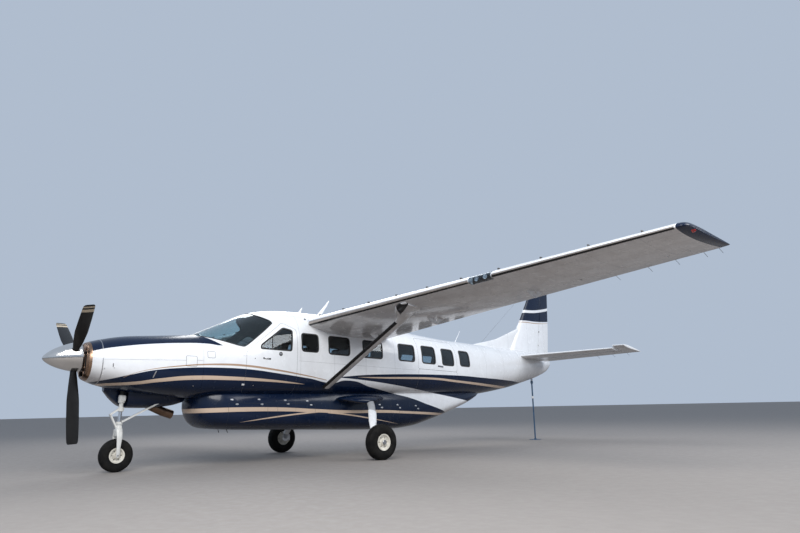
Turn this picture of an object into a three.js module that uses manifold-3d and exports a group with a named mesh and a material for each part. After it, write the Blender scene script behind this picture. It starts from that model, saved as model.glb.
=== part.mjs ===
// A single-engine turboprop utility plane with a high wing on one strut a side, a cargo pod under
// its cabin and fixed three-wheel gear, parked with a stand under its tail.
// Millimetres. X points to the plane's left wing, Y to its tail and Z up. Stations are measured
// from the nose wheel's contact point, and the whole plane is then shifted to stand on its middle.
import * as THREE from "three";
import { mergeVertices } from "three/addons/utils/BufferGeometryUtils.js";
import Module from "manifold-3d";

const wasm = await Module();
wasm.setup();

// Driving dimensions
const LENGTH = 12850;
const HALF_SPAN = 7940;
const HEIGHT = 4650;
const TRACK = 3560;
const WHEELBASE = 4050;
const NOSE_UP = 0.039; // slope of the parked airframe
const SIDE_TAPER = 0.09; // how fast the cabin's side draws in towards the tail
const TOUCH = 0.3; // between pieces that rest on each other
const SLOT = 6; // round the pieces that move
const WALL = 40;
const COWL_WALL = 25;
const FIREWALL = 1100;
const REAR_WALL = 7700;
const RING_SPLIT = -415;
const COWL_SPLIT = 1760;

const PROP = { y: -750, z: 1811, tilt: 3.77, cant: 3.35, radius: 1348, spinner: 442, back: 100 };
const MAIN = { x: TRACK / 2, y: WHEELBASE, radius: 312, half: 108, rim: 127, flange: 147, axle: 25 };
const NOSE = { x: 0, y: 0, radius: 260, half: 84, rim: 102, flange: 122, axle: 16, strut: 33, piston: 28 };
const STAND = { y: 10687, top: 1536, pole: 19, foot: 220 };

// Fuselage sections: station, half width, bottom, top, height of the widest point, and how square
// the section is above and below that height
const FUSELAGE = [
  [-620, 335, 1480, 2030, 1755, 2.1, 2.1],
  [-590, 362, 1455, 2048, 1755, 2.2, 2.2],
  [-415, 420, 1380, 2100, 1740, 2.3, 2.3],
  [0, 520, 1280, 2175, 1700, 2.4, 2.5],
  [500, 620, 1210, 2210, 1680, 2.5, 2.7],
  [1100, 730, 1150, 2260, 1680, 2.5, 3.0],
  [1400, 768, 1138, 2380, 1690, 2.4, 3.1],
  [1700, 800, 1130, 2515, 1700, 2.3, 3.2],
  [2200, 820, 1130, 2728, 1720, 2.4, 3.2],
  [2500, 822, 1130, 2785, 1720, 2.6, 3.2],
  [2900, 822, 1130, 2812, 1720, 2.7, 3.2],
  [3600, 822, 1130, 2800, 1720, 2.9, 3.2],
  [5200, 812, 1130, 2660, 1700, 2.9, 3.2],
  [6300, 782, 1130, 2530, 1690, 2.8, 3.0],
  [7200, 722, 1140, 2460, 1700, 2.6, 2.8],
  [7700, 667, 1158, 2441, 1722, 2.48, 2.62],
  [8100, 620, 1175, 2425, 1740, 2.4, 2.5],
  [9400, 440, 1330, 2370, 1850, 2.2, 2.2],
  [10200, 320, 1490, 2320, 1930, 2.1, 2.1],
  [10800, 210, 1630, 2262, 1980, 2.0, 2.0],
  [11000, 170, 1690, 2190, 1990, 2.0, 2.0],
  [11300, 105, 1800, 2160, 2010, 2.0, 2.0],
  [11500, 40, 1950, 2110, 2035, 2.0, 2.0],
  [11549, 12, 2010, 2070, 2042, 2.0, 2.0],
];

// Cargo pod sections, in the same columns
const POD = [
  [1130, 200, 950, 1300, 1060, 2.4, 2.2],
  [1160, 300, 860, 1330, 1045, 2.5, 2.4],
  [1210, 400, 775, 1360, 1030, 2.7, 2.6],
  [1290, 490, 690, 1400, 1010, 2.8, 2.8],
  [1410, 570, 635, 1400, 980, 2.9, 3.0],
  [1580, 630, 612, 1400, 950, 3.0, 3.2],
  [1900, 660, 590, 1400, 920, 3.0, 3.4],
  [3100, 665, 546, 1400, 900, 3.0, 3.4],
  [5500, 650, 472, 1400, 880, 3.0, 3.4],
  [6000, 630, 505, 1400, 900, 3.0, 3.2],
  [6620, 580, 628, 1400, 960, 3.0, 2.8],
  [7400, 470, 835, 1400, 1040, 2.8, 2.5],
  [7860, 380, 975, 1400, 1110, 2.6, 2.3],
  [8150, 290, 1085, 1400, 1160, 2.4, 2.1],
  [8400, 150, 1180, 1400, 1230, 2.2, 2.0],
];

// Lower bulge of the cowl, which holds the exhaust: station, half width, bottom, top
const CHIN_X = -200;
const CHIN = [
  [-215, 60, 1280, 1420],
  [-85, 160, 1140, 1450],
  [70, 235, 1030, 1480],
  [180, 262, 1008, 1480],
  [500, 270, 1000, 1500],
  [900, 255, 1035, 1500],
  [1090, 230, 1085, 1500],
];
const STACK_X = -300;

// Cabin windows: front and rear station, sill and head height
const WINDOWS = [
  [2975, 3327, 1989, 2318],
  [3573, 4057, 1956, 2292],
  [4397, 4886, 1920, 2255],
  [5335, 5783, 1885, 2228],
  [6015, 6415, 1849, 2217],
  [6645, 7022, 1825, 2180],
  [7255, 7600, 1821, 2163],
];

// Outlines seen from the side, as station and height
const WINDSHIELD = [
  [900, 2270],
  [1300, 2152],
  [1717, 2030],
  [1826, 2014],
  [1903, 2068],
  [2260, 2350],
  [2425, 2490],
  [2392, 2545],
  [2190, 2660],
  [2140, 2780],
  [1200, 2780],
  [900, 2500],
];
const CREW_DOOR = [
  [1826, 1235],
  [2840, 1195],
  [2878, 2378],
  [2603, 2506],
  [1854, 1943],
];
const CREW_WINDOW = [
  [2130, 2004],
  [2740, 1984],
  [2782, 2362],
  [2606, 2402],
  [2140, 2066],
];
const WINDOW_CORNER = 24;
const sideFrame = (front, rear, sill, head) => [
  [front - NOSE_UP * (head - sill) * 0.5, sill],
  [rear - NOSE_UP * (head - sill) * 0.5, sill - NOSE_UP * (rear - front)],
  [rear + NOSE_UP * (head - sill) * 0.5, head - NOSE_UP * (rear - front)],
  [front + NOSE_UP * (head - sill) * 0.5, head],
];
const CARGO_UPPER = sideFrame(5890, 7125, 1722, 2392);
const CARGO_LOWER = sideFrame(5873, 7108, 1262, 1716);
const PASSENGER_UPPER = sideFrame(6540, 7150, 1700, 2362);
const PASSENGER_LOWER = sideFrame(6522, 7132, 1300, 1694);

// Main wing, as drawn at the plane's middle and at its tip: nose point, chord, angle, thickness
const WING_ROOT = { x: 0, y: 3130, z: 2515, chord: 1980, angle: 7.1, thick: 0.175, camber: 0.022 };
const WING_TIP = { x: 7940, y: 3595, z: 2872, chord: 1146, angle: 3.8, thick: 0.12, camber: 0.022 };
const WING_START = 430;
const TIP_CAP = 7830;
const FLAP = { from: 830, to: 5640, front: 0.7, drop: 50 };
const AILERON = { from: 5652, to: 7560, hinge: 0.74, nose: [42, 35] };
const FLAP_BRACKETS = [1200, 2900, 5150];

// Tail surfaces: nose point, chord, angle, thickness; the tail plane runs along X and the fin along Z
const PLANE_ROOT = { x: 0, y: 9890, z: 2162, chord: 1180, angle: 2.3, thick: 0.11 };
const PLANE_TIP = { x: 3125, y: 10200, z: 2170, chord: 740, angle: 2.3, thick: 0.09 };
const ELEVATOR = { y: 10625, horn: 2840, inner: 225, droop: 8 };
const FIN_BASE = { z: 2200, front: 9750, rear: 11465, thick: 0.1 };
const FIN_KINK = { z: 2933, front: 10188, rear: 11548, thick: 0.1 };
const FIN_TOP = { z: HEIGHT, front: 11240, thick: 0.09 };
const RUDDER_HINGE = { low: 10955, high: 11440, foot: 2212 };
const DORSAL = { front: 8350, z: 2452 };

const STRUT = { foot: [770, 3530, 1325], chord: 185, thick: 74 };
// Flared top of the strut under the wing: x, y, z, chord, thickness
const CUFF = [
  [2640, 3812, 2375, 185, 74],
  [2800, 3790, 2470, 290, 110],
  [2960, 3730, 2540, 470, 150],
  [3130, 3690, 2585, 600, 190],
  [3330, 3670, 2610, 580, 150],
];

const degrees = Math.PI / 180;
const vec = (x, y, z) => new THREE.Vector3(x, y, z);
const blend = (a, b, t) => a + (b - a) * t;

// Solids and how they are joined

function flipIfInsideOut(points, index) {
  let volume = 0;
  const a = vec();
  const b = vec();
  const c = vec();
  for (let i = 0; i < index.length; i += 3) {
    a.fromArray(points, index[i] * 3);
    b.fromArray(points, index[i + 1] * 3);
    c.fromArray(points, index[i + 2] * 3);
    volume += a.dot(b.cross(c));
  }
  if (volume > 0) return;
  for (let i = 0; i < index.length; i += 3) [index[i + 1], index[i + 2]] = [index[i + 2], index[i + 1]];
}

function solid(geometry) {
  const plain = new THREE.BufferGeometry();
  plain.setAttribute("position", geometry.getAttribute("position").clone());
  if (geometry.index) plain.setIndex(geometry.index.clone());
  const merged = mergeVertices(plain, 1e-3);
  const points = merged.attributes.position.array;
  const index = new Uint32Array(merged.index.array);
  flipIfInsideOut(points, index);
  return new wasm.Manifold(new wasm.Mesh({ numProp: 3, vertProperties: points, triVerts: index }));
}

const join = (...pieces) => pieces.reduce((a, b) => a.add(b));
const cut = (piece, ...tools) => tools.reduce((a, b) => a.subtract(b), piece);
const common = (a, b) => a.intersect(b);

// A closed solid through rings that all have the same number of points
function loft(rings) {
  const count = rings[0].length;
  const points = rings.flat();
  const index = [];
  for (let k = 0; k + 1 < rings.length; k++) {
    for (let i = 0; i < count; i++) {
      const a = k * count + i;
      const b = k * count + ((i + 1) % count);
      if (i < count / 2 - 1) index.push(a, b, b + count, a, b + count, a + count);
      else index.push(a, b, a + count, b, b + count, a + count);
    }
  }
  const cap = (base, turn) => {
    let i = 0;
    let j = count - 1;
    while (j - i > 1) {
      index.push(...(turn ? [base + i, base + i + 1, base + j] : [base + i, base + j, base + i + 1]));
      i++;
      if (j - i <= 1) break;
      index.push(...(turn ? [base + i, base + j - 1, base + j] : [base + i, base + j, base + j - 1]));
      j--;
    }
  };
  cap(0, false);
  cap((rings.length - 1) * count, true);
  const geometry = new THREE.BufferGeometry().setFromPoints(points);
  geometry.setIndex(index);
  return solid(geometry);
}

const LYING = {
  x: new THREE.Matrix4().makeBasis(vec(0, 1, 0), vec(0, 0, 1), vec(1, 0, 0)),
  y: new THREE.Matrix4().makeBasis(vec(0, 0, 1), vec(1, 0, 0), vec(0, 1, 0)),
  z: new THREE.Matrix4(),
};

// An outline in the plane across an axis (Y,Z for x; Z,X for y; X,Y for z), drawn out along it
function prism(axis, outline, from, to) {
  const shape = new THREE.Shape(outline.map(([a, b]) => new THREE.Vector2(a, b)));
  const geometry = new THREE.ExtrudeGeometry(shape, { depth: to - from, bevelEnabled: false });
  geometry.translate(0, 0, from);
  geometry.applyMatrix4(LYING[axis]);
  return solid(geometry);
}

// An outline in Y,Z about a place, drawn out along an axis that lies near X
function plateAt(at, axis, outline, from, to) {
  const shape = new THREE.Shape(outline.map(([a, b]) => new THREE.Vector2(a, b)));
  const geometry = new THREE.ExtrudeGeometry(shape, { depth: to - from, bevelEnabled: false });
  geometry.translate(0, 0, from);
  geometry.applyMatrix4(LYING.x);
  geometry.applyQuaternion(new THREE.Quaternion().setFromUnitVectors(vec(1, 0, 0), axis));
  geometry.translate(at.x, at.y, at.z);
  return solid(geometry);
}

function block(x0, x1, y0, y1, z0, z1) {
  const geometry = new THREE.BoxGeometry(x1 - x0, y1 - y0, z1 - z0);
  geometry.translate((x0 + x1) / 2, (y0 + y1) / 2, (z0 + z1) / 2);
  return solid(geometry);
}

// A round bar from one point to another
function rod(from, to, radius, sides = 12, endRadius = radius) {
  const along = to.clone().sub(from);
  const geometry = new THREE.CylinderGeometry(endRadius, radius, along.length(), sides);
  const turn = new THREE.Quaternion().setFromUnitVectors(vec(0, 1, 0), along.clone().normalize());
  geometry.applyQuaternion(turn);
  const middle = from.clone().add(to).multiplyScalar(0.5);
  geometry.translate(middle.x, middle.y, middle.z);
  return solid(geometry);
}

// A square bar from one point to another, with its width along the side vector
function bar(from, to, width, depth, side) {
  const along = to.clone().sub(from);
  const z = along.clone().normalize();
  const x = side.clone().addScaledVector(z, -side.dot(z)).normalize();
  const y = z.clone().cross(x);
  const geometry = new THREE.BoxGeometry(width, depth, along.length());
  geometry.applyMatrix4(new THREE.Matrix4().makeBasis(x, y, z));
  const middle = from.clone().add(to).multiplyScalar(0.5);
  geometry.translate(middle.x, middle.y, middle.z);
  return solid(geometry);
}

// A turned solid: the profile holds pairs of radius and place along the axis
function turned(profile, at, axis, sides) {
  const geometry = new THREE.LatheGeometry(profile.map(([r, y]) => new THREE.Vector2(r, y)), sides);
  geometry.applyQuaternion(new THREE.Quaternion().setFromUnitVectors(vec(0, 1, 0), axis));
  geometry.translate(at.x, at.y, at.z);
  return solid(geometry);
}

// A limb of elliptical section: each row is a place, its width along the side vector and its depth
function limb(rows, side, sides = 10) {
  const rings = rows.map(([place, width, depth], k) => {
    const before = rows[Math.max(k - 1, 0)][0];
    const after = rows[Math.min(k + 1, rows.length - 1)][0];
    const z = after.clone().sub(before).normalize();
    const x = side.clone().addScaledVector(z, -side.dot(z)).normalize();
    const y = z.clone().cross(x);
    return Array.from({ length: sides }, (_, i) => {
      const a = ((i + 0.5) / sides) * 2 * Math.PI;
      return place
        .clone()
        .addScaledVector(x, Math.cos(a) * width * 0.5)
        .addScaledVector(y, Math.sin(a) * depth * 0.5);
    });
  });
  return loft(rings);
}

// An outline grown outwards by a distance; negative shrinks it
function grown(outline, distance) {
  const area = outline.reduce((sum, [a, b], i) => {
    const [c, d] = outline[(i + 1) % outline.length];
    return sum + a * d - b * c;
  }, 0);
  const way = Math.sign(area) * distance;
  return outline.map((point, i) => {
    const last = outline[(i + outline.length - 1) % outline.length];
    const next = outline[(i + 1) % outline.length];
    const one = new THREE.Vector2(point[0] - last[0], point[1] - last[1]).normalize();
    const two = new THREE.Vector2(next[0] - point[0], next[1] - point[1]).normalize();
    const reach = way / (1 + one.dot(two));
    return [point[0] + (one.y + two.y) * reach, point[1] - (one.x + two.x) * reach];
  });
}

// An outline with its corners cut by arcs
function rounded(outline, radius, steps = 1) {
  return outline.flatMap((point, i) => {
    const corner = new THREE.Vector2(...point);
    const last = new THREE.Vector2(...outline[(i + outline.length - 1) % outline.length]);
    const next = new THREE.Vector2(...outline[(i + 1) % outline.length]);
    const start = corner.clone().add(last.sub(corner).setLength(radius));
    const end = corner.clone().add(next.sub(corner).setLength(radius));
    const curve = new THREE.QuadraticBezierCurve(start, corner, end);
    return curve.getPoints(steps).map((p) => [p.x, p.y]);
  });
}

// Fuselage skin

function stationRow(table, y) {
  const k = Math.min(Math.max(table.findIndex((row) => row[0] >= y), 1), table.length - 1);
  const [low, high] = [table[k - 1], table[k]];
  const t = (y - low[0]) / (high[0] - low[0]);
  return low.map((value, i) => blend(value, high[i], t));
}

// One rounded section, inset all round by a wall
function ring(row, inset, sides) {
  const [y, half, bottom, top, middle, upper, lower] = row;
  return Array.from({ length: sides }, (_, i) => {
    const a = ((i + 0.5) / sides) * 2 * Math.PI - Math.PI / 2;
    const power = 2 / (Math.sin(a) > 0 ? upper : lower);
    const rise = (Math.sin(a) > 0 ? top - inset - middle : middle - bottom - inset);
    return vec(
      Math.sign(Math.cos(a)) * Math.abs(Math.cos(a)) ** power * (half - inset),
      y,
      middle + Math.sign(Math.sin(a)) * Math.abs(Math.sin(a)) ** power * rise,
    );
  });
}

function skin(table, from, to, inset = 0, sides = 20) {
  const inside = table.filter((row) => row[0] > from + 1 && row[0] < to - 1);
  const rows = [stationRow(table, from), ...inside, stationRow(table, to)];
  return loft(rows.map((row) => ring(row, inset, sides)));
}

// Materials

const finish = (color, roughness, metalness = 0) =>
  new THREE.MeshStandardMaterial({ color, roughness, metalness });
const white = finish(0xf1f2f4, 0.35);
const navy = finish(0x16213c, 0.3);
const polished = finish(0xc9c6c0, 0.2, 1);
const black = finish(0x17181a, 0.5);
const rubber = finish(0x1b1b1c, 0.85);
const steel = finish(0x9a9da1, 0.35, 1);
const glass = finish(0x2c3b45, 0.08);
const leather = finish(0x8c7a66, 0.7);
const carpet = finish(0x44474d, 0.95);
const rust = finish(0x7b5a45, 0.5, 0.8);
const blue = finish(0x2f4f74, 0.5, 0.3);

const plane = new THREE.Group();

function add(name, piece, material, parent = plane) {
  const made = piece.getMesh();
  const points = new Float32Array(made.numVert * 3);
  for (let i = 0; i < made.numVert; i++) {
    points.set(made.vertProperties.subarray(i * made.numProp, i * made.numProp + 3), i * 3);
  }
  const geometry = new THREE.BufferGeometry();
  geometry.setAttribute("position", new THREE.BufferAttribute(points, 3));
  geometry.setIndex(new THREE.BufferAttribute(new Uint32Array(made.triVerts), 1));
  const mesh = new THREE.Mesh(geometry, material);
  mesh.name = name;
  parent.add(mesh);
  return mesh;
}

// The same piece on the left and, mirrored, on the right
function addPair(name, piece, material) {
  const left = add(name + "_left", piece, material);
  const right = new THREE.Mesh(left.geometry, material);
  right.name = name + "_right";
  right.scale.x = -1;
  plane.add(right);
}

// A door hinge: two eyes end to end on the axis, each on a leaf into its own side
function doorHinge(at, axis, fixedSide, movingSide) {
  const eye = (way, side) => {
    const start = at.clone().addScaledVector(axis, way * TOUCH * 0.5);
    const end = at.clone().addScaledVector(axis, way * 34);
    const middle = start.clone().add(end).multiplyScalar(0.5);
    return join(rod(start, end, 9, 8), bar(middle, middle.clone().add(side), 30, 7, axis));
  };
  return { fixed: eye(-1, fixedSide), moving: eye(1, movingSide) };
}

// A control surface's hinge: an eye on an arm of the fixed part, and the slot it needs
function slotHinge(at, axis, forward, radius, arm) {
  const half = 14;
  const ends = [-1, 1].map((way) => at.clone().addScaledVector(axis, way * (half - TOUCH)));
  const tail = at.clone().addScaledVector(forward, -radius - 16);
  const nose = at.clone().addScaledVector(forward, arm);
  const eye = join(rod(ends[0], ends[1], radius, 8), bar(at, nose, 12, radius, axis));
  return { eye, slot: bar(tail, nose, half * 2, 500, axis) };
}

// Propeller and spinner, on the tilted and canted thrust line
const propeller = new THREE.Group();
propeller.position.set(0, PROP.y, PROP.z);
propeller.rotation.set(PROP.tilt * degrees, 0, -PROP.cant * degrees, "ZXY");
plane.add(propeller);
propeller.updateMatrixWorld(true);
const thrustPoint = (aft) => vec(0, aft, 0).applyMatrix4(propeller.matrixWorld);
const noseTip = thrustPoint(-PROP.spinner).y;
const MIDDLE = noseTip + LENGTH / 2;
const TAIL_END = noseTip + LENGTH;

// Blade sections: share of the radius, chord, thickness, and turn from the feathered position
const BLADE = [
  [0.085, 92, 92, 0],
  [0.17, 96, 88, 14],
  [0.26, 130, 58, 16],
  [0.4, 165, 40, 11],
  [0.52, 185, 32, 6],
  [0.7, 184, 24, 0],
  [0.9, 174, 16, -5],
  [0.97, 165, 12, -6],
  [0.99, 148, 10, -7],
  [1, 122, 8, -7],
];

function blade() {
  const sides = 10;
  const rings = BLADE.map(([share, chord, thick, turn]) =>
    Array.from({ length: sides }, (_, i) => {
      const a = ((i + 0.5) / sides) * 2 * Math.PI;
      const p = vec((Math.sin(a) * thick) / 2, (Math.cos(a) * chord) / 2, 0);
      p.applyAxisAngle(vec(0, 0, 1), turn * degrees);
      return p.setZ(-share * PROP.radius);
    }),
  );
  return loft(rings);
}

const SPINNER_PROFILE = [
  [0, -PROP.spinner],
  [45, -418],
  [104, -343],
  [158, -240],
  [204, -110],
  [234, 30],
  [240, PROP.back],
  [0, PROP.back],
];
let spinner = turned(SPINNER_PROFILE, vec(0, 0, 0), vec(0, 1, 0), 24);
for (const [k, turn] of [0, 120, 240].entries()) {
  const out = vec(0, 0, -1).applyAxisAngle(vec(0, 1, 0), turn * degrees);
  const inner = out.clone().multiplyScalar(BLADE[0][0] * PROP.radius - TOUCH);
  const outer = out.clone().multiplyScalar(0.22 * PROP.radius);
  spinner = cut(spinner, rod(inner, outer, BLADE[0][1] / 2 + 8, 16));
  add("propeller_blade_" + (k + 1), blade(), black, propeller).rotation.y = turn * degrees;
}
add("spinner", spinner, polished, propeller);

// Engine, one plain block with its shaft
const engine = join(
  rod(thrustPoint(370), thrustPoint(1900), 225, 12),
  rod(thrustPoint(PROP.back + TOUCH), thrustPoint(390), 70, 12),
);
add("engine", cut(engine, block(-900, 900, FIREWALL - TOUCH, 3000, 0, 4000)), steel);

// Nose ring with its air inlets
let noseRing = skin(FUSELAGE, -620, RING_SPLIT);
const inlet = rounded([[1600, 150], [1905, 150], [1890, 292], [1615, 292]], 50);
const coolerInlet = rounded([[1500, -120], [1590, -120], [1590, 120], [1500, 120]], 30);
noseRing = cut(
  noseRing,
  prism("y", inlet, -700, -300),
  prism("y", inlet.map(([z, x]) => [z, -x]), -700, -300),
  prism("y", coolerInlet, -700, -300),
  rod(thrustPoint(60), thrustPoint(500), 95, 20),
);
add("nose_ring", noseRing, white);

// Cowl, in an upper and a lower half
const cowlFrom = RING_SPLIT + TOUCH;
const cowlTo = FIREWALL - TOUCH;
const cowl = cut(
  skin(FUSELAGE, cowlFrom, cowlTo),
  skin(FUSELAGE, cowlFrom - 50, cowlTo + 50, COWL_WALL),
);
add("upper_cowl", cut(cowl, block(-900, 900, -900, 2000, 0, COWL_SPLIT)), white);

// Exhaust stack and the fairing it comes out of
const STACK = [
  [vec(STACK_X, 380, 1180), 190, 150],
  [vec(STACK_X, 600, 1040), 190, 150],
  [vec(STACK_X, 800, 945), 185, 150],
  [vec(STACK_X, 985, 880), 180, 150],
];
const stackHole = STACK.map(([place, w, d]) => [place, w + 2 * TOUCH, d + 2 * TOUCH]);
const stackBore = STACK.map(([place, w, d]) => [place, w - 16, d - 16]);
const stackEnd = [vec(STACK_X, 1080, 847), 170, 134];
const chinShape = (inset) =>
  loft(
    CHIN.map(([y, half, bottom, top]) =>
      ring([y, half, bottom, top, (bottom + top) / 2, 2.6, 3], inset, 14).map((p) => p.setX(p.x + CHIN_X)),
    ),
  );
// Open space round the nose strut, in the bulge
const strutWell = block(-90, 300, -500, 120, 900, 1290);

// Nose gear on its raked axis: a point on it by height
const noseLine = (z) => vec(0, (z - NOSE.radius) * NOSE_UP, z);
const NOSE_SIDES = 14;
const bearing = (radius) => (radius + TOUCH) / Math.cos(Math.PI / NOSE_SIDES);
const strutFoot = rod(noseLine(900), noseLine(1400), NOSE.strut + TOUCH, NOSE_SIDES);
add(
  "lower_cowl",
  cut(
    join(cut(cowl, block(-900, 900, -900, 2000, COWL_SPLIT - TOUCH, 3000)), cut(chinShape(0), strutWell)),
    skin(FUSELAGE, cowlFrom - 50, cowlTo + 50, COWL_WALL),
    limb([[vec(STACK_X, 330, 1212), 190, 150], ...stackHole], vec(1, 0, 0), 14),
    strutFoot,
  ),
  navy,
);
const stackInside = limb([...stackBore.slice(1), stackEnd], vec(1, 0, 0), 14);
add("exhaust_stack", cut(limb(STACK, vec(1, 0, 0), 14), stackInside), rust);

// Cabin shell and what opens in it
const wall = cut(
  skin(FUSELAGE, FIREWALL, REAR_WALL - TOUCH),
  skin(FUSELAGE, FIREWALL + WALL, REAR_WALL - WALL, WALL),
);
const windowOutline = ([front, rear, sill, head]) => rounded(sideFrame(front, rear, sill, head), 60);
const windowAt = WINDOWS.map(windowOutline);
const sides = { left: [0, 1000], right: [-1000, 0] };
// Rear doors are cut square to their slanting hinge lines, so that their ends swing clear
const DOOR_MIDDLE = 700;
function doorHole(door, space = 0) {
  const hole = prism("x", grown(door.outline, space), ...sides[door.side]);
  if (!door.slanted) return hole;
  const lean = door.side === "left" ? SIDE_TAPER : -SIDE_TAPER;
  return hole.warp((p) => {
    p[1] += lean * p[0] - SIDE_TAPER * DOOR_MIDDLE;
  });
}

const carrierOfWindow = { left: [0, 0, 0, 0, 1, 1, 0], right: [0, 0, 0, 0, 0, 1, 0] };
const windowHoles = (side, inDoor, outlines = windowAt) =>
  join(
    ...outlines
      .filter((_, k) => Boolean(carrierOfWindow[side][k]) === inDoor)
      .map((outline) => prism("x", outline, ...sides[side])),
  );

const UP = vec(0, NOSE_UP, 1).normalize();

// Doors: outline, side, hinge point, hinge axis, places along the axis, leaves, and whether the ends slant
const DOORS = [
  {
    name: "crew_door_left",
    outline: CREW_DOOR,
    side: "left",
    at: vec(824, 1840, 1600),
    axis: UP,
    places: [-160, 250],
    fixedLeaf: vec(-55, -50, 0),
    movingLeaf: vec(-55, 50, 0),
    window: CREW_WINDOW,
  },
  {
    name: "crew_door_right",
    outline: CREW_DOOR,
    side: "right",
    at: vec(-824, 1840, 1600),
    axis: UP,
    places: [-160, 250],
    fixedLeaf: vec(55, -50, 0),
    movingLeaf: vec(55, 50, 0),
    window: CREW_WINDOW,
  },
  {
    name: "cargo_door_lower",
    outline: CARGO_LOWER,
    side: "left",
    at: vec(812, 5882, 1490),
    axis: UP,
    places: [-90, 150],
    slanted: true,
    fixedLeaf: vec(-60, -50, 0),
    movingLeaf: vec(-60, 50, 0),
  },
  {
    name: "cargo_door_upper",
    outline: CARGO_UPPER,
    side: "left",
    at: vec(617, 6507, 2386),
    axis: vec(-SIDE_TAPER, 1, -NOSE_UP).normalize(),
    places: [-480, 480],
    slanted: true,
    fixedLeaf: vec(-125, 0, 8),
    movingLeaf: vec(-25, 0, -66),
    windows: true,
  },
  {
    name: "passenger_door_upper",
    outline: PASSENGER_UPPER,
    side: "right",
    at: vec(-578, 6844, 2364),
    axis: vec(SIDE_TAPER, 1, -NOSE_UP).normalize(),
    places: [-210, 210],
    slanted: true,
    fixedLeaf: vec(115, 0, 20),
    movingLeaf: vec(25, 0, -66),
    windows: true,
  },
  {
    name: "passenger_door_lower",
    outline: PASSENGER_LOWER,
    side: "right",
    at: vec(-652, 6829, 1276),
    axis: vec(SIDE_TAPER, 1, -NOSE_UP).normalize(),
    places: [-210, 210],
    slanted: true,
    fixedLeaf: vec(100, 0, -28),
    movingLeaf: vec(18, 0, 62),
  },
];

let shell = cut(wall, prism("x", WINDSHIELD, -1000, 1000));
shell = cut(shell, ...DOORS.map((door) => doorHole(door, SLOT)));
shell = cut(shell, windowHoles("left", false), windowHoles("right", false));
for (const door of DOORS) {
  let panel = common(wall, doorHole(door));
  if (door.window) panel = cut(panel, prism("x", rounded(door.window, WINDOW_CORNER), ...sides[door.side]));
  if (door.windows) panel = cut(panel, windowHoles(door.side, true));
  for (const place of door.places) {
    const at = door.at.clone().addScaledVector(door.axis, place);
    const hinge = doorHinge(at, door.axis, door.fixedLeaf, door.movingLeaf);
    shell = join(shell, hinge.fixed);
    panel = join(panel, hinge.moving);
  }
  add(door.name, panel, white);
}

// Glass: the windshield, and panes held from inside by a strip along each wall
const windshieldGlass = common(
  cut(skin(FUSELAGE, 1000, 2700), skin(FUSELAGE, 900, 2800, 12)),
  prism("x", grown(WINDSHIELD, -TOUCH), -1000, 1000),
);
add("windshield", cut(windshieldGlass, block(-900, 900, 0, FIREWALL + WALL, 0, 4000)), glass);
const glazing = cut(
  skin(FUSELAGE, FIREWALL + WALL + 1, REAR_WALL - WALL - 1, WALL + TOUCH),
  skin(FUSELAGE, FIREWALL, REAR_WALL, WALL + 5),
);
const paneBand = cut(skin(FUSELAGE, FIREWALL, REAR_WALL, 14), skin(FUSELAGE, FIREWALL, REAR_WALL, WALL + 4));
function panes(name, side, chosen, margin) {
  const outlines = chosen.map((k) => WINDOWS[k]);
  const strip = outlines.reduce(
    ([a, b, c, d], [e, f, g, h]) => [Math.min(a, e), Math.max(b, f), Math.max(c, g), Math.max(d, h)],
    [1e6, -1e6, -1e6, -1e6],
  );
  const frame = sideFrame(strip[0] - margin, strip[1] + margin, strip[2] - margin, strip[3] + margin);
  const plugs = outlines.map((row) => prism("x", grown(windowOutline(row), -TOUCH), ...sides[side]));
  add(
    name,
    join(common(glazing, prism("x", frame, ...sides[side])), common(paneBand, join(...plugs))),
    glass,
  );
}
panes("cabin_glass_left", "left", [0, 1, 2, 3], 22);
panes("cabin_glass_right", "right", [0, 1, 2, 3, 4], 22);
panes("cargo_door_glass", "left", [4, 5], 22);
panes("passenger_door_glass", "right", [5], 22);
panes("rear_glass_left", "left", [6], 22);
panes("rear_glass_right", "right", [6], 22);
for (const side of ["left", "right"]) {
  const plug = prism("x", grown(rounded(CREW_WINDOW, WINDOW_CORNER), -TOUCH), ...sides[side]);
  const edge = prism("x", grown(rounded(CREW_WINDOW, WINDOW_CORNER), 18), ...sides[side]);
  add("crew_door_glass_" + side, join(common(glazing, edge), common(paneBand, plug)), glass);
}

// Cabin inside: floor, instrument panel and seats
const floorTop = 1215;
const cabinSpace = (gap) => skin(FUSELAGE, FIREWALL + WALL + TOUCH, REAR_WALL - WALL - TOUCH, WALL + gap);
const floorBlock = (half) => block(-half, half, 1000, 8000, 1150, floorTop);
const floor = join(
  common(cabinSpace(SLOT), floorBlock(700)),
  common(cabinSpace(TOUCH), floorBlock(240)),
);
add("cabin_floor", floor, carpet);
const PANEL = [
  [FIREWALL + WALL + TOUCH, 1560],
  [FIREWALL + WALL + TOUCH, 2015],
  [1560, 2035],
  [1790, 2010],
  [1790, 1880],
  [1600, 1560],
];
add("instrument_panel", common(cabinSpace(TOUCH), prism("x", PANEL, -900, 900)), black);

function seat(y, x, width, tall = 1130) {
  const pan = block(x - width / 2, x + width / 2, y, y + 430, 1500, 1600);
  const backSide = [[y + 400, 1560], [y + 490, 1560], [y + 590, 1050 + tall], [y + 520, 1060 + tall]];
  const back = prism("x", backSide, x - width / 2, x + width / 2);
  const base = block(x - 115, x + 115, y + 60, y + 380, floorTop + TOUCH, 1510);
  return join(pan, back, base);
}
for (const [name, x] of [["left", 330], ["right", -330]]) {
  const rows = [2180, 3150, 3950, 4750, 5550].filter((y) => name === "right" || y < 5500);
  const rail = block(x - 40, x + 40, rows[0] + 100, rows.at(-1) + 400, floorTop + TOUCH, floorTop + 35);
  add("seats_" + name, join(rail, ...rows.map((y) => seat(y, x, 420))), leather);
}

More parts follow.
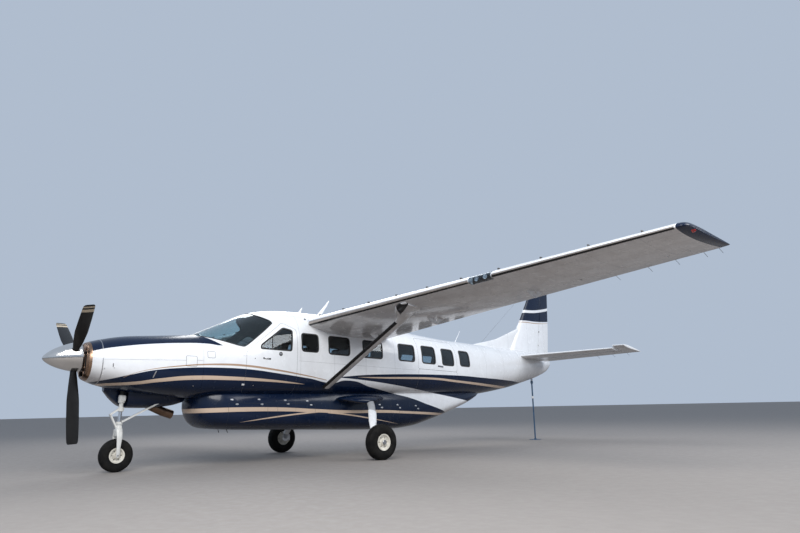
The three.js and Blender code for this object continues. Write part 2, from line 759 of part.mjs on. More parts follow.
// Wing sections

// The upper surface from the rear, round the nose, and back along the lower surface
function wingSection(at, axis) {
  const steps = 7;
  const angle = at.angle * degrees;
  const point = (share, way) => {
    const swell = 0.2969 * Math.sqrt(share) - 0.126 * share - 0.3516 * share ** 2;
    const half = 5 * at.thick * (swell + 0.2843 * share ** 3 - 0.1036 * share ** 4);
    const bend = (at.camber ?? 0) * (1 - share) * (1 - Math.exp(-share / 0.06));
    const across = (bend + way * half) * at.chord + way * 3 * share;
    const along = share * at.chord;
    const y = at.y + along * Math.cos(angle) + across * Math.sin(angle);
    const off = -along * Math.sin(angle) + across * Math.cos(angle);
    return axis === "x" ? vec(at.x, y, at.z + off) : vec(off, y, at.z);
  };
  const share = (i) => (1 + Math.cos((Math.PI * i) / steps)) / 2;
  const upper = Array.from({ length: steps + 1 }, (_, i) => point(share(i), 1));
  const lower = Array.from({ length: steps }, (_, i) => point(share(steps - 1 - i), -1));
  return [...upper, ...lower];
}

function between(a, b, key, value) {
  const t = (value - a[key]) / (b[key] - a[key]);
  return Object.fromEntries(Object.keys(a).map((k) => [k, blend(a[k], b[k] ?? a[k], t)]));
}

const wingAt = (x) => between(WING_ROOT, WING_TIP, "x", x);
const tailAt = (x) => between(PLANE_ROOT, PLANE_TIP, "x", x);
function chordPoint(at, share, below = 0) {
  const angle = at.angle * degrees;
  const along = share * at.chord;
  return vec(at.x, at.y + along * Math.cos(angle), at.z - along * Math.sin(angle) - below);
}

const bodyHole = skin(FUSELAGE, FIREWALL, 11540, -TOUCH);
const shiftedWing = (rise) =>
  loft([WING_START, TIP_CAP].map((x) => wingSection({ ...wingAt(x), z: wingAt(x).z + rise }, "x")));
const wingWhole = cut(shiftedWing(0), bodyHole);

// Flap, which drops about a hinge line below the wing
const flapStart = chordPoint(wingAt(FLAP.from), FLAP.front);
const flapEnd = chordPoint(wingAt(FLAP.to), FLAP.front);
const flapPlan = (space) => [
  [FLAP.from - space, flapStart.y - space],
  [FLAP.to + space, flapEnd.y - space],
  [FLAP.to + space, 5600],
  [FLAP.from - space, 5600],
];
const flapHinge = (x) => {
  const at = wingAt(x);
  const low = at.chord * 0.062 + FLAP.drop;
  return chordPoint(at, FLAP.front, low);
};
const flapAxis = flapHinge(FLAP.to).sub(flapHinge(FLAP.from)).normalize();
let wing = cut(wingWhole, prism("z", flapPlan(SLOT), 1500, 3500));
let flap = common(wingWhole, prism("z", flapPlan(0), 1500, 3500));
for (const x of FLAP_BRACKETS) {
  const hinge = flapHinge(x);
  const onAxis = (along) => hinge.clone().addScaledVector(flapAxis, along);
  const eye = (from, to) => rod(onAxis(from), onAxis(to), 17, 12);
  const wingPlate = [[-260, 130], [-40, -16], [12, -12], [16, 6], [-60, 150], [-150, 170]];
  const flapPlate = [[-14, -10], [10, -14], [215, 130], [60, 145]];
  wing = join(wing, eye(-14, 0), plateAt(hinge, flapAxis, wingPlate, -14, 0));
  flap = join(flap, eye(TOUCH, 14), plateAt(hinge, flapAxis, flapPlate, TOUCH, 14));
}

// Aileron, which turns about a line inside the wing
const aileronStart = chordPoint(wingAt(AILERON.from), AILERON.hinge);
const aileronEnd = chordPoint(wingAt(AILERON.to), AILERON.hinge);
const aileronAxis = aileronEnd.clone().sub(aileronStart).normalize();
const aileronPlan = (space, lead) => [
  [AILERON.from - space, aileronStart.y - lead],
  [AILERON.to + space, aileronEnd.y - lead],
  [AILERON.to + space, 5600],
  [AILERON.from - space, 5600],
];
const stretched = (space) => [
  aileronStart.clone().addScaledVector(aileronAxis, -space),
  aileronEnd.clone().addScaledVector(aileronAxis, space),
];
const [coveStart, coveEnd] = stretched(SLOT);
wing = cut(
  wing,
  prism("z", aileronPlan(SLOT, 28), 1500, 3500),
  rod(coveStart, coveEnd, AILERON.nose[0] + 7, 10, AILERON.nose[1] + 7),
);
let aileron = join(
  common(wingWhole, prism("z", aileronPlan(0, 0), 1500, 3500)),
  rod(...stretched(-0.5), AILERON.nose[0], 10, AILERON.nose[1]),
);
const AHEAD = vec(0, -1, 0);
for (const share of [0.15, 0.85]) {
  const at = aileronStart.clone().lerp(aileronEnd, share);
  const hinge = slotHinge(at, aileronAxis, AHEAD, 16, 95);
  aileron = cut(aileron, hinge.slot);
  wing = join(wing, hinge.eye);
}

addPair("aileron", aileron, white);

// Wing tip cap: place along X, share of the thickness, how far the nose moves back
const CAP = [
  [TIP_CAP - 1, 1, 0],
  [7880, 0.92, 8],
  [7920, 0.66, 34],
  [HALF_SPAN, 0.26, 84],
];
const cap = CAP.map(([x, share, back]) => {
  const at = wingAt(x);
  return wingSection({ ...at, y: at.y + back, chord: at.chord - back - 6, thick: at.thick * share }, "x");
});
addPair("wing", join(wing, loft(cap)), white);
addPair("flap", flap, white);

// Wing strut
const strut = limb(
  [[vec(...STRUT.foot), STRUT.chord, STRUT.thick], ...CUFF.map(([x, y, z, chord, thick]) => [vec(x, y, z), chord, thick])],
  vec(0, 1, 0),
  16,
);
addPair("wing_strut", cut(strut, bodyHole, shiftedWing(-TOUCH), shiftedWing(120)), white);

// Tail cone with its tie-down lug
const tail = join(
  skin(FUSELAGE, REAR_WALL, 11549),
  block(-9, 9, STAND.y - 32, STAND.y + 32, STAND.top + TOUCH, 1700),
);

// Tail plane and elevators
const planeHalf = (from, to) => loft([wingSection(tailAt(from), "x"), wingSection(tailAt(to), "x")]);
const planeHole = (space) => join(planeHalfGrown(1, space), planeHalfGrown(-1, space));
function planeHalfGrown(way, space) {
  const rings = [0, 900].map((x) => {
    const at = tailAt(x);
    const thick = at.thick * 1.01 + (2 * space) / at.chord;
    const wide = { ...at, y: at.y - space, chord: at.chord + 2 * space, thick };
    return wingSection(wide, "x").map((p) => p.setX(p.x * way));
  });
  return loft(rings);
}
const wholeTailHalf = planeHalf(150, PLANE_TIP.x);
const elevatorPlan = (space, lead) => [
  [ELEVATOR.inner - space, ELEVATOR.y - lead],
  [ELEVATOR.horn - space, ELEVATOR.y - lead],
  [ELEVATOR.horn - space, 9800],
  [PLANE_TIP.x + 100, 9800],
  [PLANE_TIP.x + 100, 11300],
  [ELEVATOR.inner - space, 11300],
];
const elevatorRoot = tailAt(ELEVATOR.inner);
const elevatorZ = chordPoint(elevatorRoot, (ELEVATOR.y - elevatorRoot.y) / elevatorRoot.chord).z;
const lineEnds = (space) => [
  vec(ELEVATOR.inner - space, ELEVATOR.y, elevatorZ),
  vec(ELEVATOR.horn + space, ELEVATOR.y, elevatorZ),
];
let halfTail = cut(
  wholeTailHalf,
  prism("z", elevatorPlan(SLOT, 34), 1500, 3500),
  rod(...lineEnds(SLOT), 35, 10),
);
let elevator = join(
  common(wholeTailHalf, prism("z", elevatorPlan(0, 0), 1500, 3500)),
  rod(...lineEnds(-0.5), 28, 10),
);
for (const share of [0.15, 0.85]) {
  const at = lineEnds(0)[0].lerp(lineEnds(0)[1], share);
  const hinge = slotHinge(at, vec(1, 0, 0), AHEAD, 13, 80);
  elevator = cut(elevator, hinge.slot);
  halfTail = join(halfTail, hinge.eye);
}
const elevatorGroup = (way) => {
  const hinge = new THREE.Group();
  hinge.position.set(0, ELEVATOR.y, elevatorZ);
  hinge.rotation.x = -ELEVATOR.droop * degrees;
  hinge.scale.x = way;
  plane.add(hinge);
  return hinge;
};
for (const [side, way] of [["left", 1], ["right", -1]]) {
  const mesh = add("elevator_" + side, elevator, white, elevatorGroup(way));
  mesh.position.set(0, -ELEVATOR.y, -elevatorZ);
}

// Fin with its dorsal fillet, and the rudder
const finRing = (at, front, chord) =>
  wingSection({ x: 0, y: front, z: at.z, chord, angle: 0, thick: at.thick }, "z");
const finTopRear = TAIL_END - 12;
const finWhole = loft([
  finRing(FIN_BASE, FIN_BASE.front, FIN_BASE.rear - FIN_BASE.front),
  finRing(FIN_KINK, FIN_KINK.front, FIN_KINK.rear - FIN_KINK.front),
  finRing({ ...FIN_TOP, z: FIN_TOP.z - 60 }, FIN_TOP.front - 38, finTopRear + 12 - FIN_TOP.front + 38),
  finRing({ ...FIN_TOP, thick: FIN_TOP.thick * 0.5 }, FIN_TOP.front + 25, finTopRear - FIN_TOP.front - 40),
]);
const dorsal = prism(
  "x",
  [
    [DORSAL.front, DORSAL.z - 60],
    [FIN_KINK.front + 200, DORSAL.z - 200],
    [FIN_KINK.front + 230, FIN_KINK.z + 40],
    [FIN_KINK.front + 18, FIN_KINK.z + 6],
    [9300, 2600],
    [DORSAL.front + 250, DORSAL.z + 6],
  ],
  -22,
  22,
);
const hingeAtHeight = (z) => {
  const t = (z - RUDDER_HINGE.foot) / (HEIGHT - RUDDER_HINGE.foot);
  return vec(0, blend(RUDDER_HINGE.low, RUDDER_HINGE.high, t), z);
};
const rudderLow = hingeAtHeight(RUDDER_HINGE.foot);
const rudderHigh = hingeAtHeight(HEIGHT);
const rudderAxis = rudderHigh.clone().sub(rudderLow).normalize();
const rudderSide = (lead, foot) => [
  [hingeAtHeight(foot).y - lead, foot],
  [12200, foot],
  [12200, 5200],
  [hingeAtHeight(5200).y - lead, 5200],
];
const rudderRod = (space, low, high) =>
  rod(hingeAtHeight(low), hingeAtHeight(high), 38 + space, 10, 20 + space);
const tailTopFoot = RUDDER_HINGE.foot - SLOT;
let fin = cut(
  join(finWhole, dorsal),
  prism("x", rudderSide(26, 1900), -300, 300),
  rudderRod(7, 2150, HEIGHT + 200),
);
let rudder = join(
  common(finWhole, prism("x", rudderSide(0, RUDDER_HINGE.foot), -300, 300)),
  rudderRod(0, RUDDER_HINGE.foot, HEIGHT - 70),
);
for (const share of [0.12, 0.8]) {
  const at = rudderLow.clone().lerp(rudderHigh, share);
  const forward = vec(0, -1, 0).addScaledVector(rudderAxis, rudderAxis.y).normalize();
  const hinge = slotHinge(at, rudderAxis, forward, 14, 90);
  rudder = cut(rudder, hinge.slot);
  fin = join(fin, hinge.eye);
}
add("rudder", rudder, white);
const tailSkin = skin(FUSELAGE, REAR_WALL - 10, 11549, -TOUCH);
add("fin", cut(fin, tailSkin), white);
const tailPlane = cut(
  join(halfTail, solidMirror(halfTail), planeCentre()),
  block(-200, 200, ELEVATOR.y + 60, 11500, 1500, 3500),
);
add("tail_plane", tailPlane, white);
add("tail_cone", cut(tail, planeHole(TOUCH), block(-300, 300, 10890, 11450, tailTopFoot, 2500)), white);

function solidMirror(piece) {
  const made = piece.getMesh();
  const geometry = new THREE.BufferGeometry();
  const mirrored = (value, i) => (i % made.numProp === 0 ? -value : value);
  const points = Float32Array.from(made.vertProperties, mirrored);
  geometry.setAttribute("position", new THREE.BufferAttribute(points, 3));
  geometry.setIndex(new THREE.BufferAttribute(new Uint32Array(made.triVerts), 1));
  return solid(geometry);
}

function planeCentre() {
  const rings = [-155, 155].map((x) => wingSection(tailAt(Math.abs(x)), "x").map((p) => p.setX(x)));
  return loft(rings);
}

// Cargo pod under the cabin
const pod = cut(skin(POD, POD[0][0], POD.at(-1)[0], 0, 18), bodyHole);

// Main gear: leg, fairing, wheel and tyre on each side
const leg = join(
  limb(
    [
      [vec(600, 4470, 1092), 190, 80],
      [vec(760, 4460, 1090), 180, 78],
      [vec(950, 4435, 1045), 165, 74],
      [vec(1200, 4300, 850), 145, 66],
      [vec(1450, 4120, 640), 125, 58],
      [vec(1590, 4060, 430), 115, 56],
      [vec(1625, 4050, 312), 105, 56],
    ],
    vec(0, 1, 0),
  ),
  rod(vec(1600, MAIN.y, MAIN.radius), vec(MAIN.x + 96, MAIN.y, MAIN.radius), MAIN.axle, 14),
  rod(vec(MAIN.x + 90 + TOUCH, MAIN.y, MAIN.radius), vec(MAIN.x + 112, MAIN.y, MAIN.radius), 42, 12),
  rod(vec(1612, MAIN.y, MAIN.radius), vec(1640, MAIN.y, MAIN.radius), 72, 14),
  block(1618, MAIN.x - 104, MAIN.y + 20, MAIN.y + 120, MAIN.radius - 60, MAIN.radius + 60),
);
const fairingRows = [
  [vec(520, 4400, 1095), 1120, 150],
  [vec(760, 4400, 1100), 1080, 150],
  [vec(880, 4410, 1085), 860, 140],
  [vec(960, 4425, 1062), 520, 116],
  [vec(1000, 4435, 1035), 240, 90],
];
const legSocket = limb(
  [
    [vec(596, 4470, 1092), 191, 81],
    [vec(760, 4460, 1090), 181, 79],
    [vec(950, 4435, 1045), 166, 75],
    [vec(1200, 4300, 850), 146, 67],
  ],
  vec(0, 1, 0),
);
const fairing = cut(limb(fairingRows, vec(0, 1, 0), 12), bodyHole);
const podWhole = join(pod, fairing, solidMirror(fairing));
addPair("main_leg", cut(leg, bodyHole), white);
add("cargo_pod", cut(podWhole, legSocket, solidMirror(legSocket)), navy);

// Wheel and tyre sections, as radius and place along the axle
function wheelProfile(wheel) {
  const out = wheel.half * 0.83;
  const seat = wheel.half * 0.784 + TOUCH;
  const bore = wheel.axle + TOUCH;
  const rim = wheel.rim - TOUCH;
  const dish = wheel.half * 0.5;
  const half = [
    [bore, out],
    [bore + 30, out],
    [rim - 14, dish],
    [wheel.flange, out],
    [wheel.flange, seat],
    [rim, seat],
  ];
  const mirror = half.map(([r, x]) => [r, -x]).reverse();
  return [...half, ...mirror, half[0]];
}

function tyreProfile(wheel) {
  const seat = wheel.half * 0.784 - TOUCH;
  const depth = wheel.radius - wheel.flange;
  const half = [
    [wheel.rim, 0],
    [wheel.rim, seat],
    [wheel.flange + 3, seat],
    [wheel.flange + depth * 0.4, wheel.half],
    [wheel.flange + depth * 0.82, wheel.half * 0.85],
    [wheel.radius, wheel.half * 0.45],
  ];
  const mirror = half.slice(1).map(([r, x]) => [r, -x]).reverse();
  return [...half, ...mirror, half[0]];
}

const sideways = vec(1, 0, 0);
const wheelAt = (wheel) => vec(wheel.x, wheel.y, wheel.radius);
addPair("main_wheel", turned(wheelProfile(MAIN), wheelAt(MAIN), sideways, 24), white);
addPair("main_tyre", turned(tyreProfile(MAIN), wheelAt(MAIN), sideways, 24), rubber);
add("nose_wheel", turned(wheelProfile(NOSE), wheelAt(NOSE), sideways, 24), white);
add("nose_tyre", turned(tyreProfile(NOSE), wheelAt(NOSE), sideways, 24), rubber);

// Nose gear
const noseRow = (z, width, depth) => [noseLine(z), width, depth];
add(
  "nose_strut",
  join(
    rod(noseLine(945), noseLine(1330), NOSE.strut, NOSE_SIDES),
    rod(noseLine(1090), noseLine(1215), 52, 14),
    block(-62, 62, noseLine(1150).y - 18, noseLine(1150).y + 46, 1120, 1200),
  ),
  white,
);
const linkTop = vec(0, 640, 1078);
const collar = cut(
  rod(noseLine(742), noseLine(788), 52, 14),
  rod(noseLine(700), noseLine(830), bearing(NOSE.piston), NOSE_SIDES),
);
const dragLink = cut(
  bar(noseLine(765), linkTop, 44, 26, vec(1, 0, 0)),
  rod(noseLine(600), noseLine(900), 40, 14),
  chinShape(-TOUCH),
);
add("nose_drag_link", join(dragLink, collar), white);
const steeringCollar = cut(
  rod(noseLine(955), noseLine(1015), 50, 14),
  rod(noseLine(900), noseLine(1100), bearing(NOSE.strut), NOSE_SIDES),
);
const apex = vec(0, -128, 905);
const forkLeg = (way) =>
  limb(
    [
      [vec(way * 84, noseLine(640).y - 4, 640), 92, 34],
      [vec(way * (NOSE.half + 26), 8, 520), 84, 26],
      [vec(way * (NOSE.half + 26), 4, 380), 60, 24],
      [vec(way * (NOSE.half + 26), 0, 240), 56, 24],
    ],
    vec(0, 1, 0),
    12,
  );
const forkHead = [noseRow(560, 150, 96), noseRow(640, 200, 110), noseRow(700, 120, 96), noseRow(735, 80, 80)];
const fork = join(
  rod(noseLine(600), noseLine(945 - TOUCH), NOSE.piston, NOSE_SIDES),
  limb(forkHead, vec(1, 0, 0)),
  forkLeg(1),
  forkLeg(-1),
  rod(vec(-NOSE.half - 38, 0, NOSE.radius), vec(NOSE.half + 38, 0, NOSE.radius), NOSE.axle, 14),
  steeringCollar,
  bar(noseLine(985).add(vec(0, -40, 0)), apex, 52, 18, vec(1, 0, 0)),
  bar(apex, noseLine(690).add(vec(0, -38, 0)), 52, 18, vec(1, 0, 0)),
  rod(apex.clone().add(vec(-34, 0, 0)), apex.clone().add(vec(34, 0, 0)), 14, 12),
);
add("nose_fork", fork, white);

// Stand under the tail
add(
  "tail_stand",
  join(
    rod(vec(0, STAND.y, 10), vec(0, STAND.y, STAND.top - 40), STAND.pole, 16),
    rod(vec(0, STAND.y, STAND.top - 70), vec(0, STAND.y, STAND.top), 34, 16),
    block(-STAND.foot / 2, STAND.foot / 2, STAND.y - STAND.foot / 2, STAND.y + STAND.foot / 2, 0, 12),
  ),
  blue,
);
add("cabin_shell", shell, white);

plane.position.y = -MIDDLE;
export default plane;
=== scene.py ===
import math

import bmesh
import bpy
import numpy as np
from mathutils import Matrix, Vector


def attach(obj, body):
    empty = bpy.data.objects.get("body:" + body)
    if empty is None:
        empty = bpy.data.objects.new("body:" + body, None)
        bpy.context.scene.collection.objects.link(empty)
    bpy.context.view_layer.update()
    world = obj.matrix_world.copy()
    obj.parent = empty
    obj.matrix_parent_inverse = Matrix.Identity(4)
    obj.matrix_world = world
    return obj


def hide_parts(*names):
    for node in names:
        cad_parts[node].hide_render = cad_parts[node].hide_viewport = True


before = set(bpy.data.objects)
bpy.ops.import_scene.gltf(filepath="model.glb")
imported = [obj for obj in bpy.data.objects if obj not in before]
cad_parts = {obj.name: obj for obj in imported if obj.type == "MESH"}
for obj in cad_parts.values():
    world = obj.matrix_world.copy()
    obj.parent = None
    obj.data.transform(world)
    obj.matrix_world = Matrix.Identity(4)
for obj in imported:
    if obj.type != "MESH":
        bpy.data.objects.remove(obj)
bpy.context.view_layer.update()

# Driving dimensions, as in the part's source
MIDDLE = 5.23471
NOSE_UP = 0.039
HEIGHT = 4.65
HALF_SPAN = 7.94
WALL = 0.04
COWL_WALL = 0.025
FIREWALL = 1.1
REAR_WALL = 7.7
RING_SPLIT = -0.415
COWL_SPLIT = 1.76
GAP = 0.0015  # half a panel gap
SIDE_TAPER = 0.09
DOOR_MIDDLE = 0.7
DOOR_CORNER = 0.055
CREW_CORNER = 0.03
DOOR_GAP = 0.004

PROP = dict(y=-0.75, z=1.811, tilt=3.77, cant=3.35, radius=1.348)
MAIN = dict(x=1.78, y=4.05, radius=0.312, half=0.108, rim=0.127, flange=0.147, axle=0.025)
NOSE = dict(x=0, y=0, radius=0.26, half=0.084, rim=0.102, flange=0.122, axle=0.016)

# Fuselage sections: station, half width, bottom, top, height of the widest point, and how square
# the section is above and below that height
FUSELAGE = [
    (-0.620, 0.335, 1.480, 2.030, 1.755, 2.1, 2.1),
    (-0.590, 0.362, 1.455, 2.048, 1.755, 2.2, 2.2),
    (-0.415, 0.420, 1.380, 2.100, 1.740, 2.3, 2.3),
    (0.000, 0.520, 1.280, 2.175, 1.700, 2.4, 2.5),
    (0.500, 0.620, 1.210, 2.210, 1.680, 2.5, 2.7),
    (1.100, 0.730, 1.150, 2.260, 1.680, 2.5, 3.0),
    (1.400, 0.768, 1.138, 2.380, 1.690, 2.4, 3.1),
    (1.700, 0.800, 1.130, 2.515, 1.700, 2.3, 3.2),
    (2.200, 0.820, 1.130, 2.728, 1.720, 2.4, 3.2),
    (2.500, 0.822, 1.130, 2.785, 1.720, 2.6, 3.2),
    (2.900, 0.822, 1.130, 2.812, 1.720, 2.7, 3.2),
    (3.600, 0.822, 1.130, 2.800, 1.720, 2.9, 3.2),
    (5.200, 0.812, 1.130, 2.660, 1.700, 2.9, 3.2),
    (6.300, 0.782, 1.130, 2.530, 1.690, 2.8, 3.0),
    (7.200, 0.722, 1.140, 2.460, 1.700, 2.6, 2.8),
    (7.700, 0.667, 1.158, 2.441, 1.722, 2.48, 2.62),
    (8.100, 0.620, 1.175, 2.425, 1.740, 2.4, 2.5),
    (9.400, 0.440, 1.330, 2.370, 1.850, 2.2, 2.2),
    (10.200, 0.320, 1.490, 2.320, 1.930, 2.1, 2.1),
    (10.800, 0.210, 1.630, 2.262, 1.980, 2.0, 2.0),
    (11.000, 0.170, 1.690, 2.190, 1.990, 2.0, 2.0),
    (11.300, 0.105, 1.800, 2.160, 2.010, 2.0, 2.0),
    (11.500, 0.040, 1.950, 2.110, 2.035, 2.0, 2.0),
    (11.549, 0.012, 2.010, 2.070, 2.042, 2.0, 2.0),
]
POD = [
    (1.130, 0.200, 0.950, 1.300, 1.060, 2.4, 2.2),
    (1.160, 0.300, 0.860, 1.330, 1.045, 2.5, 2.4),
    (1.210, 0.400, 0.775, 1.360, 1.030, 2.7, 2.6),
    (1.290, 0.490, 0.690, 1.400, 1.010, 2.8, 2.8),
    (1.410, 0.570, 0.635, 1.400, 0.980, 2.9, 3.0),
    (1.580, 0.630, 0.612, 1.400, 0.950, 3.0, 3.2),
    (1.900, 0.660, 0.590, 1.400, 0.920, 3.0, 3.4),
    (3.100, 0.665, 0.546, 1.400, 0.900, 3.0, 3.4),
    (5.500, 0.650, 0.472, 1.400, 0.880, 3.0, 3.4),
    (6.000, 0.630, 0.505, 1.400, 0.900, 3.0, 3.2),
    (6.620, 0.580, 0.628, 1.400, 0.960, 3.0, 2.8),
    (7.400, 0.470, 0.835, 1.400, 1.040, 2.8, 2.5),
    (7.860, 0.380, 0.975, 1.400, 1.110, 2.6, 2.3),
    (8.150, 0.290, 1.085, 1.400, 1.160, 2.4, 2.1),
    (8.400, 0.150, 1.180, 1.400, 1.230, 2.2, 2.0),
]
# Lower bulge of the cowl, which holds the exhaust: station, half width, bottom, top
CHIN_X = -0.20
CHIN = [
    (-0.215, 0.060, 1.280, 1.420),
    (-0.085, 0.160, 1.140, 1.450),
    (0.070, 0.235, 1.030, 1.480),
    (0.180, 0.262, 1.008, 1.480),
    (0.500, 0.270, 1.000, 1.500),
    (0.900, 0.255, 1.035, 1.500),
    (1.090, 0.230, 1.085, 1.500),
]

# Cabin windows: front and rear station, sill and head height
WINDOWS = [
    (2.975, 3.327, 1.989, 2.318),
    (3.573, 4.057, 1.956, 2.292),
    (4.397, 4.886, 1.920, 2.255),
    (5.335, 5.783, 1.885, 2.228),
    (6.015, 6.415, 1.849, 2.217),
    (6.645, 7.022, 1.825, 2.180),
    (7.255, 7.600, 1.821, 2.163),
]
WINDSHIELD = [
    (0.90, 2.27), (1.30, 2.152), (1.717, 2.03), (1.826, 2.014), (1.903, 2.068), (2.26, 2.35), (2.425, 2.49),
    (2.392, 2.545), (2.19, 2.66), (2.14, 2.78), (1.2, 2.78), (0.9, 2.5),
]
CREW_DOOR = [(1.826, 1.235), (2.840, 1.195), (2.878, 2.378), (2.603, 2.506), (1.854, 1.943)]
CREW_WINDOW = [(2.130, 2.004), (2.740, 1.984), (2.782, 2.362), (2.606, 2.402), (2.140, 2.066)]


def side_frame(front, rear, sill, head):
    """A door or window outline that leans with the nose-up airframe."""
    lean = NOSE_UP * (head - sill) / 2
    drop = NOSE_UP * (rear - front)
    return [
        (front - lean, sill), (rear - lean, sill - drop), (rear + lean, head - drop), (front + lean, head),
    ]


DOORS = {
    "crew_door_left": (CREW_DOOR, 1),
    "crew_door_right": (CREW_DOOR, -1),
    "cargo_door_upper": (side_frame(5.890, 7.125, 1.722, 2.392), 1),
    "cargo_door_lower": (side_frame(5.873, 7.108, 1.262, 1.716), 1),
    "passenger_door_upper": (side_frame(6.540, 7.150, 1.700, 2.362), -1),
    "passenger_door_lower": (side_frame(6.522, 7.132, 1.300, 1.694), -1),
}
WINDOW_CARRIERS = {
    1: ["cabin"] * 4 + ["cargo_door_upper"] * 2 + ["cabin"],
    -1: ["cabin"] * 5 + ["passenger_door_upper", "cabin"],
}

# Wings and tail surfaces: nose point, chord, angle, thickness
WING_ROOT = dict(x=0, y=3.130, z=2.515, chord=1.980, angle=7.1, thick=0.175, camber=0.022)
WING_TIP = dict(x=7.940, y=3.595, z=2.872, chord=1.146, angle=3.8, thick=0.12, camber=0.022)
WING_START = 0.43
TIP_CAP = 7.83
FLAP = dict(start=0.830, to=5.640, front=0.7, drop=0.050)
AILERON = dict(start=5.652, to=7.560, hinge=0.74)
PLANE_ROOT = dict(x=0, y=9.890, z=2.162, chord=1.180, angle=2.3, thick=0.11)
PLANE_TIP = dict(x=3.125, y=10.200, z=2.170, chord=0.740, angle=2.3, thick=0.09)
ELEVATOR = dict(y=10.625, horn=2.840, inner=0.225, droop=8)
FIN = [
    dict(z=2.200, front=9.750, rear=11.465, thick=0.1),
    dict(z=2.933, front=10.188, rear=11.548, thick=0.1),
    dict(z=4.590, front=11.202, rear=11.6597, thick=0.09),
    dict(z=4.650, front=11.265, rear=11.620, thick=0.045),
]
RUDDER_LOW = Vector((0, 10.955, 2.212))
RUDDER_HIGH = Vector((0, 11.440, HEIGHT))

V = Vector
X_AXIS, Y_AXIS, Z_AXIS = V((1, 0, 0)), V((0, 1, 0)), V((0, 0, 1))
UP = V((0, NOSE_UP, 1)).normalized()
SLANT = V((0.31, 0.52, 0.79))  # a side vector for round sections; nothing runs along it
SIDES = {"left": 1, "right": -1}


# Mesh helpers. A "solid" is a temporary object in station coordinates.


def placed(name, data):
    """A new object of the data, in the scene."""
    made = bpy.data.objects.new(name, data)
    bpy.context.scene.collection.objects.link(made)
    return made


def bare(verts, faces):
    """An object from points and faces as they are."""
    mesh = bpy.data.meshes.new("solid")
    mesh.from_pydata([tuple(v) for v in verts], [], faces)
    return placed("solid", mesh)


def solid(verts, faces, weld=False):
    """A closed object whose normals point out."""
    made = bare(verts, faces)
    work = bmesh.new()
    work.from_mesh(made.data)
    if weld:
        bmesh.ops.remove_doubles(work, verts=work.verts, dist=1e-6)
    bmesh.ops.recalc_face_normals(work, faces=work.faces)
    if work.calc_volume(signed=True) < 0:
        bmesh.ops.reverse_faces(work, faces=work.faces)
    work.to_mesh(made.data)
    work.free()
    return made


def quads(rings, count, joined=False, start=0):
    """Faces between the rings of a tube; a joined tube closes on itself."""
    faces = []
    for k in range(rings if joined else rings - 1):
        here, after = start + k * count, start + (k + 1) % rings * count
        for i in range(count):
            j = (i + 1) % count
            faces.append((here + i, here + j, after + j, after + i))
    return faces


def loft(rings, closed_ends=True):
    count = len(rings[0])
    faces = quads(len(rings), count)
    if closed_ends:
        faces.append(tuple(range(count))[::-1])
        faces.append(tuple(range((len(rings) - 1) * count, len(rings) * count)))
    return solid([p for ring in rings for p in ring], faces, weld=not closed_ends)


def prism(outline, x0, x1):
    """An outline in Y, Z drawn out along X."""
    return loft([[V((x, y, z)) for y, z in outline] for x in (x0, x1)])


def plan(outline, z0, z1):
    """An outline in X, Y drawn out along Z."""
    return loft([[V((x, y, z)) for x, y in outline] for z in (z0, z1)])


def box(x0, x1, y0, y1, z0, z1):
    return plan([(x0, y0), (x1, y0), (x1, y1), (x0, y1)], z0, z1)


def frame_along(z, side):
    z = z.normalized()
    x = (side - z * side.dot(z)).normalized()
    return x, z.cross(x), z


def sweep(rows, side=X_AXIS, sides=16, power=2.0):
    """A closed limb through rows of place, width along the side vector and depth."""
    rings = []
    for k, (place, width, depth) in enumerate(rows):
        before, after = rows[max(k - 1, 0)][0], rows[min(k + 1, len(rows) - 1)][0]
        x, y, _ = frame_along(V(after) - V(before), side)
        ring = []
        for i in range(sides):
            a = (i + 0.5) / sides * math.tau
            c, s = math.cos(a), math.sin(a)
            across = math.copysign(abs(c) ** (2 / power), c) * width / 2
            out = math.copysign(abs(s) ** (2 / power), s) * depth / 2
            ring.append(V(place) + x * across + y * out)
        rings.append(ring)
    return loft(rings)


def rod(a, b, radius, sides=16, end=None):
    """A round bar, which may end in another radius."""
    rows = [(V(at), r * 2, r * 2) for at, r in ((a, radius), (b, end or radius))]
    return sweep(rows, V((0.3, 0.5, 0.8)), sides)


def pin(at, axis, half, radius, sides):
    """A round bar that reaches as far on both sides of a place."""
    return rod(at - axis * half, at + axis * half, radius, sides)


def tube(points, radius, sides=10):
    return sweep([(V(p), radius * 2, radius * 2) for p in points], SLANT, sides)


def bar(a, b, width, depth, side):
    """A straight bar with a square section."""
    x, y, _ = frame_along(b - a, side)
    ring = [x * width * i / 2 + y * depth * k / 2 for i, k in ((1, 1), (-1, 1), (-1, -1), (1, -1))]
    return loft([[at + p for p in ring] for at in (a, b)])


def round_ring(x, y, radius, sides):
    """Offsets round a circle in the plane of two directions."""
    angles = [math.tau * i / sides for i in range(sides)]
    return [(x * math.cos(a) + y * math.sin(a)) * radius for a in angles]


def lathe(profile, at, axis, sides=64):
    """Pairs of radius and place along the axis, turned round it; a closed profile makes a ring."""
    z = V(axis).normalized()
    x, y, z = frame_along(z, V((0, 0.02, 1)) if abs(z.z) < 0.9 else X_AXIS)
    rings = [[V(at) + z * along + p for p in round_ring(x, y, max(r, 1e-4), sides)] for r, along in profile]
    return loft(rings, closed_ends=tuple(profile[0]) != tuple(profile[-1]))


def drum(radius, low, high, cut):
    """The profile of a disc between two heights, with its rims cut off."""
    return [
        (0, low), (radius - cut[0], low), (radius, low + cut[1]),
        (radius, high - cut[1]), (radius - cut[0], high), (0, high),
    ]


def hollow(outer, inner, low, high):
    """The closed profile of a plain ring."""
    return [(inner, low), (outer, low), (outer, high), (inner, high), (inner, low)]


